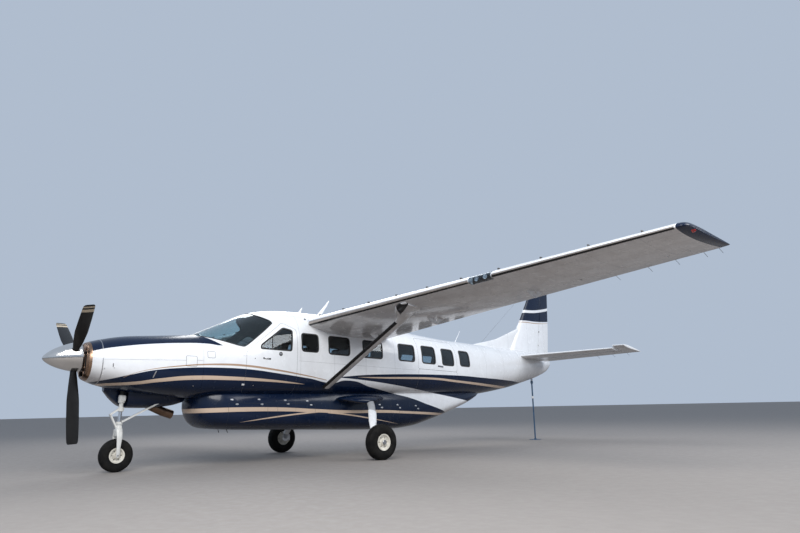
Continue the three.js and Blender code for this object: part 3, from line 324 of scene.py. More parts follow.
def loop_tube(points, radius, sides=10):
    """A closed round tube along a closed path."""
    rings = []
    for i, place in enumerate(points):
        x, y, _ = frame_along(points[(i + 1) % len(points)] - points[i - 1], V((0.11, 0.97, 0.2)))
        rings.append([place + p for p in round_ring(x, y, radius, sides)])
    return solid([p for ring in rings for p in ring], quads(len(points), sides, joined=True))


def bevel_box(centre, size, bevel=0.004, turn=None):
    work = bmesh.new()
    bmesh.ops.create_cube(work, size=1)
    bmesh.ops.scale(work, verts=work.verts, vec=size)
    offset = min(bevel, min(size) * 0.45)
    bmesh.ops.bevel(work, geom=work.edges[:], offset=offset, segments=2, affect="EDGES", profile=0.6)
    if turn is not None:
        bmesh.ops.transform(work, matrix=turn.to_4x4(), verts=work.verts)
    bmesh.ops.translate(work, verts=work.verts, vec=centre)
    mesh = bpy.data.meshes.new("box")
    work.to_mesh(mesh)
    work.free()
    return placed("box", mesh)


def merge(parts):
    """Several solids as one mesh, with no boolean."""
    work = bmesh.new()
    for p in parts:
        work.from_mesh(p.data)
    work.to_mesh(parts[0].data)
    work.free()
    for p in parts[1:]:
        drop(p)
    return parts[0]


def drop(made):
    mesh = made.data
    bpy.data.objects.remove(made)
    bpy.data.meshes.remove(mesh)


def copy(made):
    twin = made.copy()
    twin.data = made.data.copy()
    bpy.context.scene.collection.objects.link(twin)
    return twin


def evaluated(made):
    return made.evaluated_get(bpy.context.evaluated_depsgraph_get())


def boolean(made, tool, way="DIFFERENCE", keep=False):
    """Cuts, joins or intersects a solid with a tool, which goes unless it is kept."""
    step = made.modifiers.new("cut", "BOOLEAN")
    step.operation = way
    step.object = tool
    step.solver = "MANIFOLD"
    shaped = bpy.data.meshes.new_from_object(evaluated(made))
    made.modifiers.remove(step)
    old = made.data
    made.data = shaped
    bpy.data.meshes.remove(old)
    if not keep:
        drop(tool)
    return made


def common(made, tool, keep=False):
    """What a solid and a tool share."""
    return boolean(made, tool, "INTERSECT", keep)


def joined(made, tool):
    return boolean(made, tool, "UNION")


def mirrored(made):
    twin = copy(made)
    twin.data.transform(Matrix.Diagonal((-1, 1, 1, 1)))
    twin.data.flip_normals()
    return twin


def shape(made, name, materials, node="", body="airframe", slot="", angle=32):
    """Turns a solid into a finished piece that rides on a body and may stand for a node.

    A slot is worked out from its first material, unless one is given, but nothing uses it.
    """
    made.name = name
    made.data.name = name
    made.data.transform(Matrix.Translation((0, -MIDDLE, 0)))
    materials = materials if isinstance(materials, list) else [materials]
    made.data.materials.clear()
    for material in materials:
        made.data.materials.append(material)
    for face in made.data.polygons:
        face.use_smooth = True
    made.data.set_sharp_from_angle(angle=math.radians(angle))
    slot = slot or SLOTS[materials[0].name]
    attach(made, body)
    if node:
        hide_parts(node)
    return made


def both_sides(made, name, materials, node="", body="airframe", slot="", angle=32):
    """A left piece and its mirror image; SIDE in a node or body stands for left or right."""
    for piece, word in zip((made, mirrored(made)), SIDES):
        host = body.replace("SIDE", word)
        shape(piece, name + "_" + word, materials, node.replace("SIDE", word), host, slot, angle)


def arc_corners(outline, radius, steps=5):
    """An outline with its corners rounded."""
    out = []
    for i, point in enumerate(outline):
        corner = V((*point, 0))
        last, after = V((*outline[i - 1], 0)), V((*outline[(i + 1) % len(outline)], 0))
        reach = min(radius, (last - corner).length * 0.45, (after - corner).length * 0.45)
        start = corner + (last - corner).normalized() * reach
        end = corner + (after - corner).normalized() * reach
        for k in range(steps + 1):
            t = k / steps
            p = start * (1 - t) ** 2 + corner * 2 * t * (1 - t) + end * t**2
            out.append((p.x, p.y))
    return out


def grown(outline, distance):
    """An outline moved outward by a distance."""
    area = sum(a[0] * b[1] - a[1] * b[0] for a, b in zip(outline, outline[1:] + outline[:1]))
    way = distance if area > 0 else -distance
    out = []
    for i, p in enumerate(outline):
        last, after = outline[i - 1], outline[(i + 1) % len(outline)]
        one = V((p[0] - last[0], p[1] - last[1])).normalized()
        two = V((after[0] - p[0], after[1] - p[1])).normalized()
        reach = way / (1 + one.dot(two))
        out.append((p[0] + (one.y + two.y) * reach, p[1] - (one.x + two.x) * reach))
    return out


# Skins


def smooth_rows(table, stations):
    """Rows at the stations, through the table by monotone cubics."""
    table = np.array(table)
    y, columns = table[:, 0], table[:, 1:]
    step = np.diff(y)[:, None]
    slope = np.diff(columns, axis=0) / step
    tangent = np.vstack([slope[:1], np.zeros((len(y) - 2, columns.shape[1])), slope[-1:]])
    same = slope[:-1] * slope[1:] > 0
    total = slope[:-1] + slope[1:]
    tangent[1:-1] = np.where(same, 2 * slope[:-1] * slope[1:] / np.where(same, total, 1), 0)
    out = []
    for s in stations:
        k = int(min(max(np.searchsorted(y, s) - 1, 0), len(y) - 2))
        h = y[k + 1] - y[k]
        t = min(max((s - y[k]) / h, 0), 1)
        row = (
            (2 * t**3 - 3 * t**2 + 1) * columns[k]
            + (t**3 - 2 * t**2 + t) * h * tangent[k]
            + (3 * t**2 - 2 * t**3) * columns[k + 1]
            + (t**3 - t**2) * h * tangent[k + 1]
        )
        out.append((s, *row))
    return out


def section(row, inset=0, sides=96, centre=0):
    y, half, bottom, top, middle, upper, lower = row
    ring = []
    for i in range(sides):
        a = (i + 0.5) / sides * math.tau - math.pi / 2
        c, s = math.cos(a), math.sin(a)
        power = 2 / (upper if s > 0 else lower)
        rise = top - inset - middle if s > 0 else middle - bottom - inset
        x = math.copysign(abs(c) ** power, c) * (half - inset)
        ring.append(V((x + centre, y, middle + math.copysign(abs(s) ** power, s) * rise)))
    return ring


def stations(start, end, step):
    count = max(2, round((end - start) / step))
    return [start + (end - start) * i / count for i in range(count + 1)]


def skin(table, start, end, inset=0.0, sides=96, step=0.06):
    return loft([section(row, inset, sides) for row in smooth_rows(table, stations(start, end, step))])


def half_width(table, y, z, inset=0.0):
    """The skin's half width at a station and height."""
    _, half, bottom, top, middle, upper, lower = smooth_rows(table, [y])[0]
    if z > middle:
        q, power = (z - middle) / (top - inset - middle), upper
    else:
        q, power = (middle - z) / (middle - bottom - inset), lower
    return (half - inset) * max(0, 1 - min(q, 1) ** power) ** (1 / power)


def on_skin(y, z, side=1, out=0.0, table=FUSELAGE):
    """A point on the skin and the outward normal there."""
    e = 0.004
    here = half_width(table, y, z)
    dy = (half_width(table, y + e, z) - half_width(table, y - e, z)) / (2 * e)
    dz = (half_width(table, y, z + e) - half_width(table, y, z - e)) / (2 * e)
    normal = V((side, -dy, -dz)).normalized()
    return V((side * here, y, z)) + normal * out, normal


def pod_bottom(x, y):
    """Height of the pod's underside at a place."""
    _, half, bottom, _, middle, _, lower = smooth_rows(POD, [y])[0]
    return middle + (bottom - middle) * max(0, 1 - (abs(x) / half) ** lower) ** (1 / lower)


def foil(at, share, way, axis="x"):
    """A place on a wing section: above where the way is 1, below where it is -1."""
    angle = math.radians(at["angle"])
    swell = 0.2969 * math.sqrt(share) - 0.126 * share - 0.3516 * share**2
    half = 5 * at["thick"] * (swell + 0.2843 * share**3 - 0.1036 * share**4)
    bend = at.get("camber", 0) * (1 - share) * (1 - math.exp(-share / 0.06))
    across = (bend + way * half) * at["chord"] + way * 0.003 * share
    along = share * at["chord"]
    y = at["y"] + along * math.cos(angle) + across * math.sin(angle)
    off = -along * math.sin(angle) + across * math.cos(angle)
    return V((at["x"], y, at["z"] + off)) if axis == "x" else V((off, y, at["z"]))


def airfoil(at, axis="x", steps=30):
    """The upper surface from the rear, round the nose, and back along the lower surface."""
    share = [(1 + math.cos(math.pi * i / steps)) / 2 for i in range(steps + 1)]
    return [foil(at, s, 1, axis) for s in share] + [foil(at, s, -1, axis) for s in share[-2::-1]]


def on_foil(at, t, out=0.0):
    """A place on a wing section and its normal. The square of t is the share of the chord, and its
    sign is the side: above where it is positive."""
    near = [foil(at, k * k, 1 if k > 0 else -1) for k in (t - 0.004, t + 0.004)]
    along = near[1] - near[0]
    normal = V((0, -along.z, along.y)).normalized()
    return foil(at, t * t, 1 if t > 0 else -1) + normal * out, normal


def foil_strip(places, t0, t1, out=0.0015, deep=0.003, steps=10):
    """A thin strip round the nose of the wing, from one t to another."""
    ts = [t0 + (t1 - t0) * i / steps for i in range(steps + 1)]
    rings = []
    for at in map(wing_at, places):
        outer = [on_foil(at, t, out if 0 < i < steps else 0.0)[0] for i, t in enumerate(ts)]
        rings.append(outer + [on_foil(at, t, -deep)[0] for t in reversed(ts)])
    return loft(rings)


def domes(places, radius=0.0034, high=0.0014, sides=6):
    """Low rivet heads at pairs of place and normal, as one mesh."""
    verts, faces = [], []
    for at, normal in places:
        x, y, z = frame_along(normal, SLANT)
        start = len(verts)
        for r, h in ((radius, -high * 0.3), (radius, 0.0), (radius * 0.55, high)):
            verts += [at + p + z * h for p in round_ring(x, y, r, sides)]
        faces += quads(3, sides, start=start)
        faces.append(tuple(range(start, start + sides))[::-1])
        faces.append(tuple(range(start + 2 * sides, start + 3 * sides)))
    return bare(verts, faces)


def surface_path(outline, side, out=0.0, table=FUSELAGE, step=0.05):
    """Places on a skin and their normals, round an outline of stations and heights."""
    found = []
    for a, b in zip(outline, outline[1:] + outline[:1]):
        count = max(1, math.ceil(math.dist(a, b) / step))
        for i in range(count):
            y, z = (p + (q - p) * i / count for p, q in zip(a, b))
            found.append(on_skin(y, z, side, out, table))
    return found


def surface_plate(outline, side, out, deep=0.004, table=FUSELAGE):
    """A thin plate that lies on a skin inside an outline."""
    edge = surface_path(outline, side, 0.0, table, 0.03)
    count = len(edge)
    y = sum(p.y for p, n in edge) / count
    z = sum(p.z for p, n in edge) / count
    verts = [on_skin(y, z, side, out, table)[0]]
    for p, n in edge:
        verts.append(on_skin(p.y + (y - p.y) * 0.12, p.z + (z - p.z) * 0.12, side, out, table)[0])
    verts += [p + n * out * 0.4 for p, n in edge] + [p - n * deep for p, n in edge]
    faces = [tuple(range(1 + 2 * count, 1 + 3 * count))[::-1]]
    for i in range(count):
        j = (i + 1) % count
        faces.append((0, 1 + i, 1 + j))
        for low in (1, 1 + count):
            faces.append((low + i, low + count + i, low + count + j, low + j))
    return solid(verts, faces)


def facing(normal):
    """A turn whose Z axis is the normal and whose Y axis points up the surface."""
    z = normal.normalized()
    y = (UP - z * UP.dot(z)).normalized()
    return Matrix((y.cross(z), y, z)).transposed()


def between(a, b, key, value):
    t = (value - a[key]) / (b[key] - a[key])
    return {k: a[k] + (b[k] - a[k]) * t for k in a}


def wing_at(x):
    return between(WING_ROOT, WING_TIP, "x", x)


def tail_at(x):
    return between(PLANE_ROOT, PLANE_TIP, "x", x)


def chord_point(at, share, below=0.0):
    angle = math.radians(at["angle"])
    along = share * at["chord"]
    return V((at["x"], at["y"] + along * math.cos(angle), at["z"] - along * math.sin(angle) - below))


def smooth_limb(rows, steps=6):
    """More rows along a limb, through the given ones."""
    out = []
    for k in range(len(rows) - 1):
        near = [rows[max(k - 1, 0)], rows[k], rows[k + 1], rows[min(k + 2, len(rows) - 1)]]
        a, b, c, d = [np.array([*V(place), width, depth]) for place, width, depth in near]
        for i in range(steps):
            t = i / steps
            rise = (2 * a - 5 * b + 4 * c - d) * t**2 + (3 * b - a - 3 * c + d) * t**3
            p = 0.5 * (2 * b + (c - a) * t + rise)
            out.append((V(p[:3]), p[3], p[4]))
    return out + [rows[-1]]


# Materials, made from nodes


def four(value):
    return (*value, 1) if isinstance(value, tuple) and len(value) == 3 else value


class Nodes:
    """A small writer of shader nodes."""

    def __init__(self, name, **settings):
        self.material = bpy.data.materials.new(name)
        self.material.use_nodes = True
        self.tree = self.material.node_tree
        self.shader = self.tree.nodes["Principled BSDF"]
        self.put(**settings)
        where = self.add("TexCoord")
        self.place, self.normal = where.outputs["Object"], where.outputs["Normal"]
        self.x, self.y, self.z = self.add("SeparateXYZ", self.place).outputs

    def add(self, kind, *inputs, **settings):
        node = self.tree.nodes.new("ShaderNode" + kind)
        for key, value in settings.items():
            setattr(node, key, value)
        for socket, value in zip(node.inputs, inputs):
            self.feed(socket, value)
        return node

    def feed(self, socket, value):
        if isinstance(value, bpy.types.NodeSocket):
            self.tree.links.new(value, socket)
        elif value is not None:
            socket.default_value = four(value)

    def put(self, **values):
        for key, value in values.items():
            self.feed(self.shader.inputs[key.replace("_", " ")], value)
        return self

    def math(self, how, a, b=None, c=None, clamp=False):
        return self.add("Math", a, b, c, operation=how, use_clamp=clamp).outputs[0]

    def times(self, a, b):
        return self.math("MULTIPLY", a, b)

    def less(self, a, b):
        return self.math("SUBTRACT", a, b)

    def sloped(self, a, slope, b):
        return self.math("MULTIPLY_ADD", a, slope, b)

    def above(self, a, b, soft=0.0012):
        """One where a is above b, with a narrow soft edge."""
        return self.math("MULTIPLY_ADD", self.less(a, b), 1 / soft, 0.5, clamp=True)

    def both(self, first, *more):
        for value in more:
            first = self.times(first, value)
        return first

    def either(self, first, *more):
        for value in more:
            first = self.math("MAXIMUM", first, value)
        return first

    def without(self, a, b):
        return self.times(a, self.less(1.0, b))

    def mix(self, factor, a, b):
        node = self.add("Mix", data_type="RGBA")
        for socket, value in zip((node.inputs[0], node.inputs[6], node.inputs[7]), (factor, a, b)):
            self.feed(socket, value)
        return node.outputs[2]

    def noise(self, scale, detail=4.0, rough=0.55):
        node = self.add("TexNoise", self.place)
        for key, value in (("Scale", scale), ("Detail", detail), ("Roughness", rough)):
            node.inputs[key].default_value = value
        return node.outputs["Fac"]

    def range(self, value, low, high, to_low=0.0, to_high=1.0):
        return self.add("MapRange", value, low, high, to_low, to_high).outputs[0]

    def vary(self, scale, low, high, detail=4.0, start=0.3, end=0.7):
        """Noise, spread from one value to another."""
        return self.range(self.noise(scale, detail), start, end, low, high)

    def bump(self, height, strength, distance, under=None):
        node = self.add("Bump")
        inputs = dict(Height=height, Strength=strength, Distance=distance, Normal=under)
        for key, value in inputs.items():
            self.feed(node.inputs[key], value)
        return node.outputs[0]

    def curve(self, points):
        """A height as a smooth curve over the station, through pairs of station and height."""
        low, high = points[0][0], points[-1][0]
        floor = min(p[1] for p in points) - 0.05
        span = max(p[1] for p in points) + 0.05 - floor
        node = self.add("FloatCurve", 1.0, self.range(self.y, low - MIDDLE, high - MIDDLE))
        line = node.mapping.curves[0]
        while len(line.points) < len(points):
            line.points.new(0.5, 0.5)
        for point, (y, z) in zip(line.points, points):
            point.location = ((y - low) / (high - low), (z - floor) / span)
        node.mapping.update()
        return self.sloped(node.outputs[0], span, floor)

    def over(self, points):
        return self.above(self.z, self.curve(points))

    def under(self, points):
        return self.above(self.curve(points), self.z)

    def aft(self, station):
        return self.above(self.y, station - MIDDLE)

    def ahead(self, station):
        return self.above(station - MIDDLE, self.y)

    def band(self, rows):
        """One inside a stripe through rows of station, height and width."""
        middle = self.curve([(y, z) for y, z, _ in rows])
        width = self.curve([(y, w / 2) for y, _, w in rows])
        off = self.math("ABSOLUTE", self.less(self.z, middle))
        return self.both(self.above(width, off), self.aft(rows[0][0]), self.ahead(rows[-1][0]))

    def line(self, value, at, half=0.0018):
        """One on a thin line where the value crosses a number."""
        return self.above(half, self.math("ABSOLUTE", self.less(value, at)), 0.0008)

    def lines(self, value, start, step, half=0.0018):
        """One on thin lines a step apart."""
        return self.line(self.math("PINGPONG", self.less(value, start), step / 2), 0, half)


WHITE = (0.80, 0.815, 0.84)
NAVY = (0.0022, 0.0085, 0.028)
BEIGE = (0.56, 0.43, 0.33)
TAN = (0.40, 0.27, 0.18)
PATCH = (0.006, 0.006, 0.007)
# Colour of the specks of dirt, and of the painted shade on faces that look down
DIRT_AND_UNDER_SHADE = (0.25, 0.205, 0.175)
JOINT = (0.05, 0.05, 0.055)

# Paint lines: pairs of station and height, or rows of station, height and width
CAP_EDGE = [
    (-0.62, 1.855), (-0.5, 1.904), (-0.39, 1.931), (-0.07, 1.983), (0.27, 2.023), (0.75, 2.055),
    (1.15, 2.058), (1.35, 2.03),
]
NAVY_EDGE = [
    (-0.62, 1.395), (-0.347, 1.442), (-0.013, 1.519), (0.42, 1.605), (0.88, 1.640), (1.38, 1.645),
    (1.84, 1.630), (2.51, 1.560), (3.15, 1.480), (3.70, 1.405), (3.95, 1.452), (4.60, 1.331),
    (5.37, 1.193), (5.83, 1.096), (6.21, 0.987), (6.70, 0.861), (7.1, 0.75),
]
TAN_LINE = [
    (-0.10, 1.475, 0.004), (0.27, 1.603, 0.010), (0.72, 1.664, 0.020), (1.12, 1.694, 0.026),
    (1.55, 1.700, 0.034), (1.84, 1.686, 0.036), (2.30, 1.640, 0.034), (2.93, 1.553, 0.024),
    (3.53, 1.452, 0.010),
]
SECOND_LINE = [
    (-0.42, 1.372, 0.030), (0.02, 1.386, 0.045), (0.44, 1.435, 0.058), (1.02, 1.476, 0.068),
    (1.57, 1.468, 0.062), (2.16, 1.444, 0.046), (2.80, 1.398, 0.022), (3.05, 1.374, 0.002),
]
REAR_TOP = [
    (3.70, 1.512), (3.99, 1.530), (4.31, 1.556), (4.81, 1.579), (5.87, 1.601), (6.71, 1.600), (7.29, 1.593),
    (7.98, 1.567), (8.87, 1.536), (9.88, 1.487), (10.2, 1.465),
]
REAR_LOW = [
    (3.70, 1.508), (4.02, 1.492), (4.57, 1.447), (5.24, 1.373), (6.02, 1.274), (6.73, 1.179),
    (7.37, 1.087), (7.9, 1.01),
]
REAR_LINE = [
    (4.25, 1.520, 0.002), (4.95, 1.513, 0.030), (5.49, 1.518, 0.038), (6.29, 1.515, 0.042),
    (7.06, 1.470, 0.046), (7.83, 1.424, 0.050), (8.52, 1.384, 0.050), (9.4, 1.345, 0.048),
]
POD_LINE = [
    (0.90, 0.925, 0.075), (1.66, 0.940, 0.075), (2.51, 0.932, 0.070), (3.40, 0.888, 0.062),
    (4.05, 0.858, 0.056), (5.06, 0.842, 0.056), (5.54, 0.818, 0.050), (6.21, 0.781, 0.050),
    (7.2, 0.72, 0.045),
]
FIN_BANDS_FROM, FIN_BANDS_OVER = 9.9, 3.0
FIN_LOW = [(9.8, 3.150), (10.5, 3.165), (10.9, 3.160), (11.2, 3.172), (11.75, 3.225)]
FIN_MIDDLE = [(9.8, 3.330), (10.5, 3.385), (10.8, 3.395), (11.2, 3.445), (11.75, 3.560)]
FIN_HIGH = [(9.8, 3.420), (10.5, 3.465), (10.8, 3.470), (11.2, 3.518), (11.75, 3.640)]
FIN_LINE = [
    (9.8, 3.105, 0.020), (10.5, 3.118, 0.022), (10.9, 3.112, 0.022), (11.2, 3.125, 0.016),
    (11.7, 3.175, 0.004),
]
POD_CURL_1 = [(1.85, 0.722, 0.002), (2.22, 0.765, 0.018), (2.92, 0.834, 0.026), (3.45, 0.872, 0.030)]
POD_CURL_2 = [(3.65, 0.850, 0.026), (4.05, 0.808, 0.026), (4.60, 0.727, 0.022), (5.47, 0.577, 0.002)]
BEIGE_LINES = [SECOND_LINE, REAR_LINE, POD_LINE, POD_CURL_1, POD_CURL_2]

# Seams: rib spacing and spar shares of the wing, ribs and spar of the tail plane, body frames
RIB_START, RIB_STEP = 0.83, 0.728
SPARS = (0.13, 0.36, 0.66)
TAIL_RIB, TAIL_RIB_STEP, TAIL_SPAR = 0.46, 0.54, 0.30
BODY_SEAM, BODY_SEAM_STEP, BODY_SEAM_END = 2.935, 0.76, 5.8
SIDE_SEAM, SIDE_SEAM_START = 1.80, 2.9
# The strut's dark patch: its corners as distance from the middle and station, and its lowest height
CUFF_PATCH = [(3.08, 3.346), (3.354, 3.428), (2.909, 3.618)]
CUFF_PATCH_LOW = 2.44
# The dark cap lies under a line that falls to the rear: its height at the firewall and its slope
CAP_HEIGHT, CAP_SLOPE = 2.235, 0.6
NAVY_END = 7.6


def scaled(color, factor):
    return tuple(c * factor for c in color)


def body_scheme(n, tone, navy):
    """The colour, the dark paint and the seams of the body, pod and fin."""
    windshield_line = n.above(CAP_HEIGHT + CAP_SLOPE * (FIREWALL - MIDDLE), n.sloped(n.y, CAP_SLOPE, n.z))
    cap = n.both(n.over(CAP_EDGE), windshield_line)
    low = n.both(n.under(NAVY_EDGE), n.ahead(NAVY_END))
    rear = n.both(n.under(REAR_TOP), n.over(REAR_LOW), n.aft(REAR_TOP[0][0]), n.ahead(REAR_TOP[-1][0]))
    fins = n.either(n.both(n.over(FIN_LOW), n.under(FIN_MIDDLE)), n.over(FIN_HIGH))
    fins = n.both(fins, n.aft(FIN_BANDS_FROM), n.above(n.z, FIN_BANDS_OVER))
    dark = n.either(cap, low, rear, fins)
    tone = n.mix(dark, tone, navy)
    tone = n.mix(n.either(*[n.band(rows) for rows in BEIGE_LINES]), tone, BEIGE)
    tone = n.mix(n.either(n.band(TAN_LINE), n.band(FIN_LINE)), tone, TAN)
    seams = n.lines(n.y, BODY_SEAM - MIDDLE, BODY_SEAM_STEP)
    seams = n.both(seams, n.either(n.ahead(BODY_SEAM_END), n.aft(REAR_WALL)), n.aft(BODY_SEAM - 0.05))
    rail = n.line(n.sloped(n.y, NOSE_UP, n.z), SIDE_SEAM + NOSE_UP * (SIDE_SEAM_START - MIDDLE))
    return tone, dark, n.either(seams, n.both(rail, n.aft(SIDE_SEAM_START), n.ahead(BODY_SEAM_END)))


def wing_scheme(n, tone, navy):
    """White wings with navy tips, with seams over the ribs and spars."""
    across = n.math("ABSOLUTE", n.x)
    tip = n.above(across, TIP_CAP)
    sweep_back, taper = [(WING_TIP[k] - WING_ROOT[k]) / WING_TIP["x"] for k in ("y", "chord")]
    nose = n.sloped(across, sweep_back, WING_ROOT["y"] - MIDDLE)
    share = n.math("DIVIDE", n.less(n.y, nose), n.sloped(across, taper, WING_ROOT["chord"]))
    seams = n.lines(across, RIB_START, RIB_STEP)
    seams = n.either(seams, *[n.line(share, value, 0.0012) for value in SPARS])
    return n.mix(tip, tone, navy), tip, n.without(seams, tip)


def tail_scheme(n, tone, navy):
    ribs = n.lines(n.math("ABSOLUTE", n.x), TAIL_RIB, TAIL_RIB_STEP, 0.0014)
    spar = n.line(n.y, ELEVATOR["y"] - TAIL_SPAR - MIDDLE, 0.0014)
    return tone, None, n.either(ribs, spar)


def strut_scheme(n, tone, navy):
    """White with a dark patch of three sides under the strut's upper end."""
    across = n.math("ABSOLUTE", n.x)
    patch = n.above(n.z, CUFF_PATCH_LOW)
    for (x0, y0), (x1, y1) in zip(CUFF_PATCH, CUFF_PATCH[1:] + CUFF_PATCH[:1]):
        edge = n.sloped(across, y1 - y0, (x1 - x0) * (y0 - MIDDLE) - (y1 - y0) * x0)
        patch = n.both(patch, n.above(n.times(n.y, x1 - x0), edge, 0.0004))
    return n.mix(patch, tone, PATCH), patch, None


# The slot in which the pieces of each material go
SLOTS = {}


def paint(name, scheme=None):
    """Gloss paint in a scheme, with specks of dirt, painted shade on what faces down, and dents along the
    seams.
    """
    n = Nodes(name, IOR=1.5, Coat_Weight=0.5, Coat_Roughness=0.06)
    SLOTS[n.material.name] = "white_paint"
    tone = n.mix(n.vary(1.7, 0, 1, start=0.35, end=0.65), WHITE, scaled(WHITE, 0.965))
    navy = n.mix(n.vary(2.3, 0, 1), NAVY, scaled(NAVY, 1.25))
    tone, dark, seams = scheme(n, tone, navy) if scheme else (tone, None, None)
    facing_down = n.add("SeparateXYZ", n.normal).outputs[2]
    # Faces that look down are mixed towards the dirt colour: painted shade
    under = n.range(facing_down, -0.15, -0.85, 0.0, 0.60)
    dirt_and_shade = n.times(n.range(n.noise(6, 6, 0.6), 0.45, 0.75), 0.10)
    dirt_and_shade = n.either(dirt_and_shade, n.times(under, n.vary(4, 0.8, 1.1, 5)))
    if dark is not None:
        dirt_and_shade = n.without(dirt_and_shade, dark)
        n.put(Coat_Weight=n.range(dark, 0, 1, 0.5, 0.20), Specular_IOR_Level=n.range(dark, 0, 1, 0.5, 0.26))
    tone = n.mix(dirt_and_shade, tone, DIRT_AND_UNDER_SHADE)
    normal = n.bump(n.noise(260, 2), 0.03, 0.001, n.bump(n.noise(1.4, 2), 0.03, 0.02))
    if seams is not None:
        tone = n.mix(n.times(seams, 0.6), tone, JOINT)
        normal = n.bump(n.less(1.0, seams), 0.4, 0.001, normal)
    n.put(Base_Color=tone, Roughness=n.vary(9, 0.17, 0.30, 5), Normal=normal)
    return n.material


def mottled(name, slot, scale, low, high, rough, normal, detail=4, start=0.3, **settings):
    """A material between two colours, with its roughness and bump from noise."""
    n = Nodes(name, **settings)
    SLOTS[n.material.name] = slot
    n.put(Base_Color=n.mix(n.vary(scale, 0, 1, detail, start), low, high))
    n.put(Roughness=n.vary(*rough) if isinstance(rough, tuple) else rough)
    scale, detail, strength, distance = normal
    n.put(Normal=n.bump(n.noise(scale, detail), strength, distance))
    return n.material


def plain(name, slot, color, rough=0.5, metal=0.0, grain=90, bump=0.15, vary=0.12, **more):
    low, high = scaled(color, 1 - vary), tuple(min(1, c * (1 + vary)) for c in color)
    spread = (grain * 0.3, max(0.02, rough * 0.8), min(1, rough * 1.2))
    normal = (grain, 4, bump, 0.001)
    return mottled(name, slot, grain * 0.12, low, high, spread, normal, 5, Metallic=metal, **more)


def clear(name, tint):
    n = dict(IOR=1.45, Transmission_Weight=1.0)
    return mottled(name, "glass", 2.0, tint, scaled(tint, 0.92), 0.02, (3.0, 2, 0.02, 0.01), **n)


BODY_PAINT = paint("body_paint", body_scheme)
WING_PAINT = paint("wing_paint", wing_scheme)
WHITE_PAINT = paint("white_paint")
STRUT_PAINT = paint("strut_paint", strut_scheme)
TAIL_PAINT = paint("tail_paint", tail_scheme)
TRIM = plain("cabin_trim", "", (0.20, 0.19, 0.18), 0.75, grain=300, bump=0.3)
RUBBER = plain("window_rubber", "black_trim", (0.012, 0.012, 0.013), 0.6, grain=200)
BLACK = plain("black_paint", "black_trim", (0.014, 0.014, 0.016), 0.42, grain=140)
STEEL = plain("bare_steel", "steel", (0.42, 0.42, 0.43), 0.3, 1.0, 180, 0.08)
CHROME = plain("chromed_steel", "steel", (0.72, 0.72, 0.73), 0.08, 1.0, 60, 0.02, 0.03)
ALUMINIUM = plain("aluminium", "steel", (0.55, 0.55, 0.56), 0.35, 1.0, 160, 0.08)
EXHAUST = plain("heat_stained_steel", "exhaust", (0.20, 0.13, 0.09), 0.45, 1.0, 40, 0.2, 0.4)
# Near black for the insides of the nose ring, the lamp well and the nose strut's top under the cowl: painted
# shade
INSIDE_SHADE = plain("dark_inside", "black_trim", (0.012, 0.012, 0.013), 0.8, grain=60)
BLUE = plain("blue_stand_paint", "blue_paint", (0.035, 0.085, 0.16), 0.4, grain=60, vary=0.3)
LAMP_LOOK = dict(rough=0.08, grain=40, bump=0.02, Transmission_Weight=0.3)
RED_LAMP = plain("red_lamp", "glass", (0.50, 0.012, 0.008), **LAMP_LOOK)
GREEN_LAMP = plain("green_lamp", "glass", (0.010, 0.30, 0.08), **LAMP_LOOK)
DULL = dict(grain=60, Specular_IOR_Level=0.35)
BOOT = plain("boot_rubber", "black_trim", (0.006, 0.006, 0.0065), 0.26, bump=0.06, **DULL)
# A lighter metal on the upper faces of the wing boots: a painted reflection of the sky on the glossy boot
BOOT_SHEEN_METAL = plain("boot_sky_sheen", "steel", (0.36, 0.32, 0.29), 0.34, 0.6, 50, 0.08)
CARPET = plain("cabin_carpet", "", (0.055, 0.058, 0.066), 0.95, grain=900, bump=0.8, vary=0.25)
LEATHER = plain("seat_leather", "leather", (0.11, 0.105, 0.10), 0.48, grain=420, bump=0.25)
PANEL_TRIM = plain("panel_trim", "black_trim", (0.020, 0.020, 0.022), 0.7, grain=500, bump=0.3)
SCREEN = plain("screen_glass", "glass", (0.008, 0.010, 0.014), 0.06, grain=20, bump=0.01)
BLADE_BAND = plain("blade_band_paint", "blade_black", (0.50, 0.42, 0.31), 0.42, grain=60)
BLADE_PAINT = plain("blade_paint", "blade_black", (0.005, 0.005, 0.0055), 0.36, **DULL)
HUB_PAINT = plain("hub_paint", "white_paint", (0.66, 0.63, 0.56), 0.4, grain=80)
LEG_PAINT = plain("leg_paint", "white_paint", (0.34, 0.35, 0.37), 0.4, grain=80)
GEAR_PAINT = plain("gear_paint", "white_paint", (0.62, 0.62, 0.60), 0.38, grain=80)
COPPER = plain("heated_lip_metal", "polished_metal", (0.34, 0.22, 0.15), 0.28, 1.0, 30, 0.1, 0.35)
GLASS = clear("cabin_glass", (0.56, 0.67, 0.73))
SHIELD_GLASS = clear("windshield_glass", (0.62, 0.77, 0.80))
LENS_GLASS = clear("lens_glass", (0.55, 0.63, 0.70))
TYRE = mottled(
    "tyre_rubber", "tyre", 8, (0.0045, 0.0045, 0.005), (0.014, 0.013, 0.012), (30, 0.62, 0.88),
    (220, 3, 0.25, 0.0015), 5, 0.35, Specular_IOR_Level=0.14,
)
POLISHED = mottled(
    "polished_spinner", "polished_metal", 4, (0.78, 0.76, 0.74), (0.68, 0.66, 0.63), (14, 0.10, 0.19),
    (500, 2, 0.03, 0.0005), Metallic=1.0, Anisotropic=0.5,
)
FLOOR = plain("floor", "", (0.275, 0.252, 0.236), 0.85, grain=30, bump=0.05, vary=0.03)

# Cabin shell, doors and windows


def window_outline(k):
    return side_frame(*WINDOWS[k])


